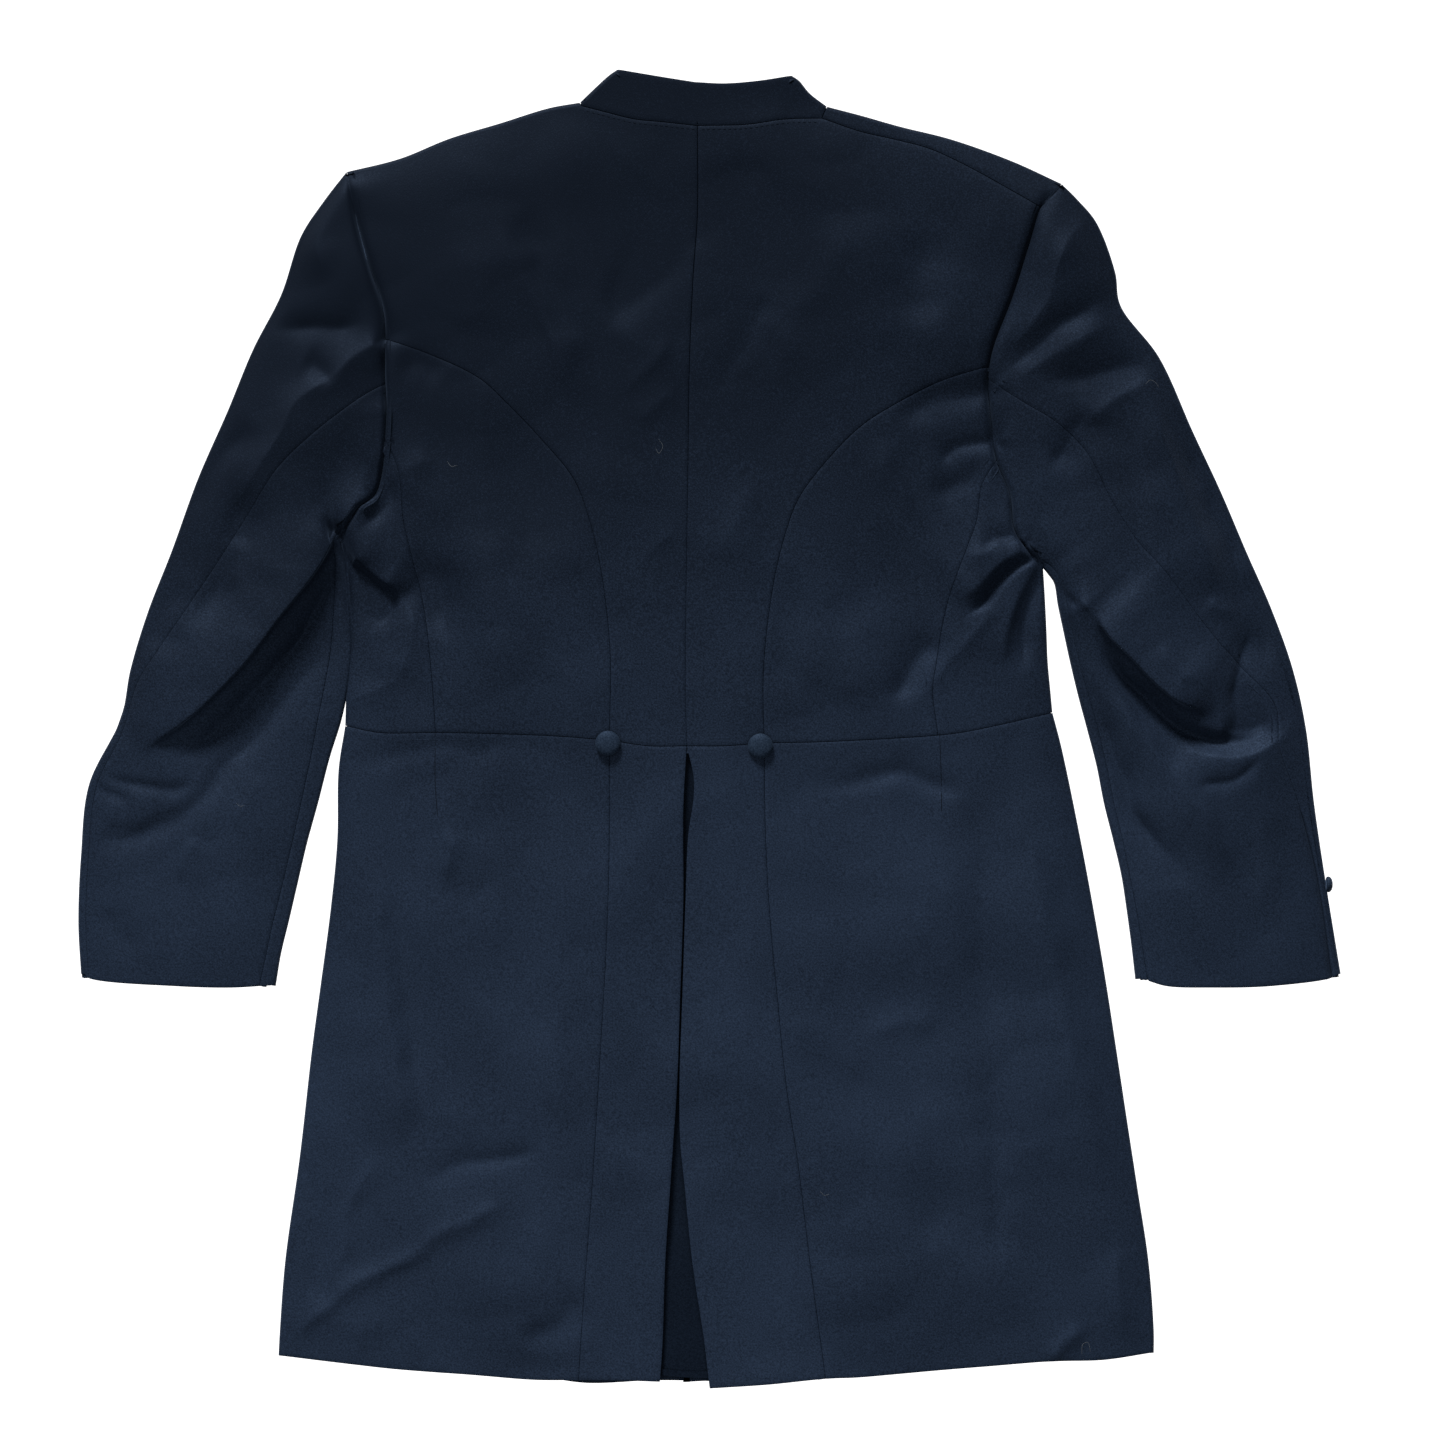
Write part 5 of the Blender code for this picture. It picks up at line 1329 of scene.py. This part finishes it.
def wool(name, finish):
    """A cloth material on the twill group."""
    material = plain_material(name, finish.dark, WOOL_ROUGHNESS)
    tree = material.node_tree
    weave = add_node(tree, "ShaderNodeGroup", {"node_tree": twill},
                     Rib_Width=RIB_WIDTH, Colour=finish.dark, Light_Colour=finish.light).outputs
    # Painted shade: ambient occlusion darkens the colour down in every crease
    open_to_light = add_node(tree, "ShaderNodeAmbientOcclusion", {"samples": CREASE_SAMPLES},
                             Distance=CREASE_REACH).outputs["AO"]
    free_of_painted_shade = remap(tree, open_to_light, *CREASE_RANGE, kind="SMOOTHSTEP")
    bump = add_node(tree, "ShaderNodeBump", Strength=RELIEF, Distance=RELIEF_DEPTH, Height=weave["Height"])
    values = {
        "Sheen Weight": SHEEN * finish.shine, "Sheen Roughness": SHEEN_SOFTNESS, "Sheen Tint": SHEEN_TINT,
        "Specular IOR Level": GLOSS * finish.shine, "Specular Tint": SHEEN_TINT,
        "Base Color": blend(tree, free_of_painted_shade, PAINTED_CREASE_SHADE, weave["Colour"]),
        "Roughness": weave["Roughness"], "Normal": bump.outputs["Normal"],
    }
    for key, value in values.items():
        feed(tree, tree.nodes["Principled BSDF"].inputs[key], value)
    return material


body_wool, shaded_pleat_wool, button_wool = (
    wool(f"{name}_wool", finish) for name, finish in (("navy", NAVY), ("pleat", SHADED_PLEAT), ("button", BUTTON)))
print("cloth materials:", [material.name for material in (body_wool, shaded_pleat_wool, button_wool)])

# %% [markdown]
# ## Laying the coat out
# Both halves are built from their rows in the pattern, one piece for each solid. The collar goes
# across the centre back, so its two halves are welded into one piece.

# %% Pieces of both halves
BUILDERS = {
    "back": build_back, "side_body": build_side_body, "front": build_front, "skirt_back": build_skirt_back,
    "skirt": build_skirt, "under_sleeve": build_under_sleeve, "top_sleeve": build_top_sleeve,
}
halves = {"left": LEFT, "right": RIGHT}
rolled = {name: rolled_edges(side) for name, side in halves.items()}
edges = [edge for half in rolled.values() for edge in vars(half).values()]
lines, cloth, areas = {}, {}, {}
collar_patches = []
for name, side in halves.items():
    own = rolled[name]
    line = lines[name] = lower_seams(side, own, upper_seams(side, own))
    collar_patches += build_collar(side, own, line, edges)
    for kind, build in BUILDERS.items():
        node = f"{kind}_{name}"
        cloth[node], areas[node] = make_cloth(f"{node}_cloth", build(side, own, line, edges), body_wool)
        print(node, "faces:", len(cloth[node].data.polygons), "area:", round(areas[node], 4))
cloth["collar"], areas["collar"] = make_cloth("collar_cloth", collar_patches, body_wool)

# %% [markdown]
# ## The underlay of the vent
# Below the waist the two strips part, and a pleat of the same wool lies behind them. Only a narrow
# wedge of it shows. It is pressed flat on both fronts, so one level sheet is enough. Its material is
# a darker copy of the wool with less sheen, painted shade for the slot it lies in.

# %% Underlay of the vent
UNDERLAY_HEIGHT = 2 * LAP_RISE + SEAM_GAP  # it lies on both fronts
UNDERLAY_LEFT = [(-60, -18), (-66, -200), (-80, -480)]
UNDERLAY_RIGHT = [(22, -18), (28, -200), (46, -480)]
UNDERLAY_TOP = [(-60, -18), (-17, -18), (22, -18)]
UNDERLAY_HEM = [(-80, -480), (-37, -486), (0, -489), (46, -484)]
UNDERLAY_STEPS = (40, 120)


def build_underlay():
    columns, rows = UNDERLAY_STEPS
    plan = patch(low=curve(UNDERLAY_TOP, columns), high=curve(UNDERLAY_HEM, columns),
                 left=curve(UNDERLAY_LEFT, rows), right=curve(UNDERLAY_RIGHT, rows))
    return lower(plan, lambda x: 0 * x + UNDERLAY_HEIGHT)


# The underlay's darker wool is painted shade
cloth["vent_underlay"], areas["vent_underlay"] = make_cloth(
    "vent_underlay_cloth", [build_underlay()], shaded_pleat_wool)

# %% [markdown]
# ## What each piece was cut to
# Each sheet of cloth was cut from a rectangle, and the share of it that the area of the sheet itself
# fills, with its turned in borders, is printed. A later user may want the flat pattern.

CUTS = {  # width and length of the cut, in metres
    "back": (0.30, 0.53), "side_body": (0.20, 0.31), "front": (0.44, 0.52), "skirt_back": (0.12, 0.50),
    "skirt": (0.66, 0.52), "under_sleeve": (0.21, 0.50), "top_sleeve": (0.36, 0.66),
    "collar": (0.26, 0.10), "vent_underlay": (0.13, 0.50),
}
for node, piece in cloth.items():
    kind = node.removesuffix("_left").removesuffix("_right")
    width, length = CUTS[kind]
    print(node, "cut share:", round(areas[node] / (width * length), 3))
    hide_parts(node)
    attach(piece, "root")

# %% [markdown]
# ## Buttons
# A covered button is a metal dome with a disc of the coat's wool gathered round it. The wool bulges a
# little over the rim and pulls into small pleats beneath. A turned profile gives the dome, and a
# wave round its rim gives the pleats.

# %% Covered buttons
BUTTON_TURNS = 96
BUTTON_PLEATS = 22
PLEAT_DEPTH = 0.018  # of the radius
PLEATS_FROM, PLEATS_TO = 0.55, 0.15  # down the height, where the pleats get their depth
PLEATS_OUT = (0.3, 0.9)  # and from the middle outwards
BUTTON_PROFILE = [  # share of the radius, share of the height
    (0.0, 1.0), (0.25, 0.985), (0.5, 0.93), (0.7, 0.84), (0.86, 0.70), (0.95, 0.56), (1.0, 0.40),
    (0.985, 0.26), (0.93, 0.14), (0.84, 0.06), (0.6, 0.0), (0.0, 0.0)]
PROFILE_STEPS = 40
PROFILE_FINE = 6


def covered_button(name, centre, radius, height, axis):
    """A domed button on its base point, with the cloth gathered under its rim."""
    profile = evenly(smooth_line(BUTTON_PROFILE, PROFILE_FINE), PROFILE_STEPS)
    turn = np.linspace(0, 2 * math.pi, BUTTON_TURNS, endpoint=False)
    under_rim = smoothstep(PLEATS_FROM, PLEATS_TO, profile[:, 1]) * smoothstep(*PLEATS_OUT, profile[:, 0])
    across = profile[:, :1] * (1 - PLEAT_DEPTH * under_rim[:, None] * (1 + np.cos(BUTTON_PLEATS * turn)))
    points = np.dstack([radius * across * np.cos(turn), radius * across * np.sin(turn),
                        height * profile[:, 1:] + 0 * turn]).reshape(-1, 3)
    ring, rows = np.arange(BUTTON_TURNS), np.arange(len(profile) - 1)[:, None] * BUTTON_TURNS
    after = (ring + 1) % BUTTON_TURNS
    start, end = rows + ring, rows + after
    faces = np.stack([start, start + BUTTON_TURNS, end + BUTTON_TURNS, end], axis=2)
    piece = mesh_object(name, points.tolist(), faces.reshape(-1, 4).tolist(), button_wool, coat)
    piece.data.shade_smooth()
    piece.rotation_mode = "QUATERNION"
    piece.rotation_quaternion = Vector(axis).to_track_quat("Z", "Y")
    piece.location = centre
    return piece


BUTTON_AXES = {
    "waist_button_left": (0, 0, 1), "waist_button_right": (0, 0, 1), "cuff_button_right": (1, 0, 0),
}
for node, axis in BUTTON_AXES.items():
    low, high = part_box(node)
    centre, size = (low + high) / 2, high - low
    axis = Vector(axis)
    height = size.dot(axis)
    radius = (size - axis * height).length / math.sqrt(8)  # from the diagonal of its square outline
    piece = covered_button(f"{node}_covered", centre - axis * height / 2, radius, height, axis)
    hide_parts(node)
    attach(piece, "root")
    print(node, "diameter mm:", round(2 * radius / MM, 1), "height mm:", round(height / MM, 1))

# %% [markdown]
# ## Stitches, darts and lint
# A row of small pick stitches holds the collar seam down. One dart on each side takes in the skirt
# under the waist seam, and it shows as a short dark line that runs out: a thin dark thread, sunk a
# little into the cloth, is painted shade of its groove. A few pale fibres cling to the wool, as they
# do on any dark cloth. Each is a thin flat thread that follows the cloth.

# %% Threads that follow the cloth
THREAD_SIDES = 6
THREAD_TIP, THREAD_TAPER = 0.25, 6  # width at a thread's end, and how fast it grows from there
THREAD_ROUGHNESS, THREAD_GLOSS = 0.9, 0.05


def thread_material(name, colour):
    material = plain_material(name, (*colour, 1.0), THREAD_ROUGHNESS)
    shader = material.node_tree.nodes["Principled BSDF"]
    shader.inputs["Specular IOR Level"].default_value = THREAD_GLOSS
    return material


def make_threads(name, paths, width, lift, material):
    """Flat threads along plan lines, which taper at both ends."""
    points, faces = [], []
    turn = np.linspace(0, 2 * math.pi, THREAD_SIDES, endpoint=False)
    ring = np.arange(THREAD_SIDES)
    for path in paths:
        outer = surface(np.asarray(path, float)[None], edges)[0] + (0, 0, lift)
        across = np.cross(directions(outer)[0], (0, 0, 1))
        share = np.linspace(0, 1, len(outer))[:, None]
        half = width / 2 * np.minimum(1, THREAD_TIP + THREAD_TAPER * np.minimum(share, 1 - share))
        rings = (outer[:, None] + half[..., None] * np.cos(turn)[None, :, None] * across[:, None]
                 + half[..., None] / 2 * np.sin(turn)[None, :, None] * (0, 0, 1))
        first = sum(map(len, points))
        rows = first + np.arange(len(outer) - 1)[:, None] * THREAD_SIDES
        last = first + (len(outer) - 1) * THREAD_SIDES
        start, after = rows + ring, rows + (ring + 1) % THREAD_SIDES
        sides = np.stack([start, after, after + THREAD_SIDES, start + THREAD_SIDES], axis=2)
        faces += [*sides.reshape(-1, 4).tolist(), (first + ring)[::-1].tolist(), (last + ring).tolist()]
        points.append(rings.reshape(-1, 3))
    piece = mesh_object(name, (np.concatenate(points) * MM).tolist(), faces, material, coat)
    piece.data.shade_smooth()
    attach(piece, "root")
    print(name, "threads:", len(paths))


# %% Pick stitches
STITCH_LENGTH = 2.2
STITCH_SPACING = 4.0
STITCH_DROP = 3.0  # below the collar seam
STITCH_STEPS = 6


def pick_stitches(seam):
    """Short dashes beside a seam, evenly spaced."""
    length = lengths_along(seam)
    stitches = []
    for start in np.arange(STITCH_SPACING, length[-1] - STITCH_SPACING, STITCH_SPACING):
        at = np.linspace(start, start + STITCH_LENGTH, STITCH_STEPS)
        x, y = (np.interp(at, length, seam[:, k]) for k in (0, 1))
        stitches.append(np.column_stack([x, y - STITCH_DROP]))
    return stitches


# %% Darts and lint
DART_STEPS, LINT_STEPS = 20, 6
DARTS = [[(436, 733), (436, 783), (439, 822)], [(939, 733), (941, 783), (941, 817)]]
LINT = [
    [(1144, 386), (1149, 381), (1155, 384), (1158, 389)], [(659, 440), (663, 447), (659, 454), (656, 449)],
    [(1046, 594), (1051, 598), (1049, 604)],
    [(1081, 1354), (1082, 1343), (1087, 1341), (1090, 1352)], [(448, 462), (452, 467), (458, 466)],
    [(820, 1190), (824, 1194), (829, 1193)], [(238, 803), (242, 806), (246, 805)]]
THREADS = {  # lines, width and lift in millimetres, material
    "pick_stitches": ([stitch for line in lines.values() for stitch in pick_stitches(line.neck)],
                      0.5, 0.12, thread_material("pick_thread", (0.0022, 0.0042, 0.0080))),
    # The dark dart lines are painted shade of their grooves
    "dart_seam_shadows": ([smooth_line(from_picture(path), DART_STEPS) for path in DARTS],
                   0.7, -0.1, thread_material("dart_seam_shadow", (0.0006, 0.0012, 0.0025))),
    "lint": ([smooth_line(from_picture(path), LINT_STEPS) for path in LINT],
             0.2, 0.1, thread_material("lint_fibre", (0.055, 0.062, 0.070))),
}
for name, (paths, width, lift, material) in THREADS.items():
    make_threads(name, paths, width, lift, material)

# %% [markdown]
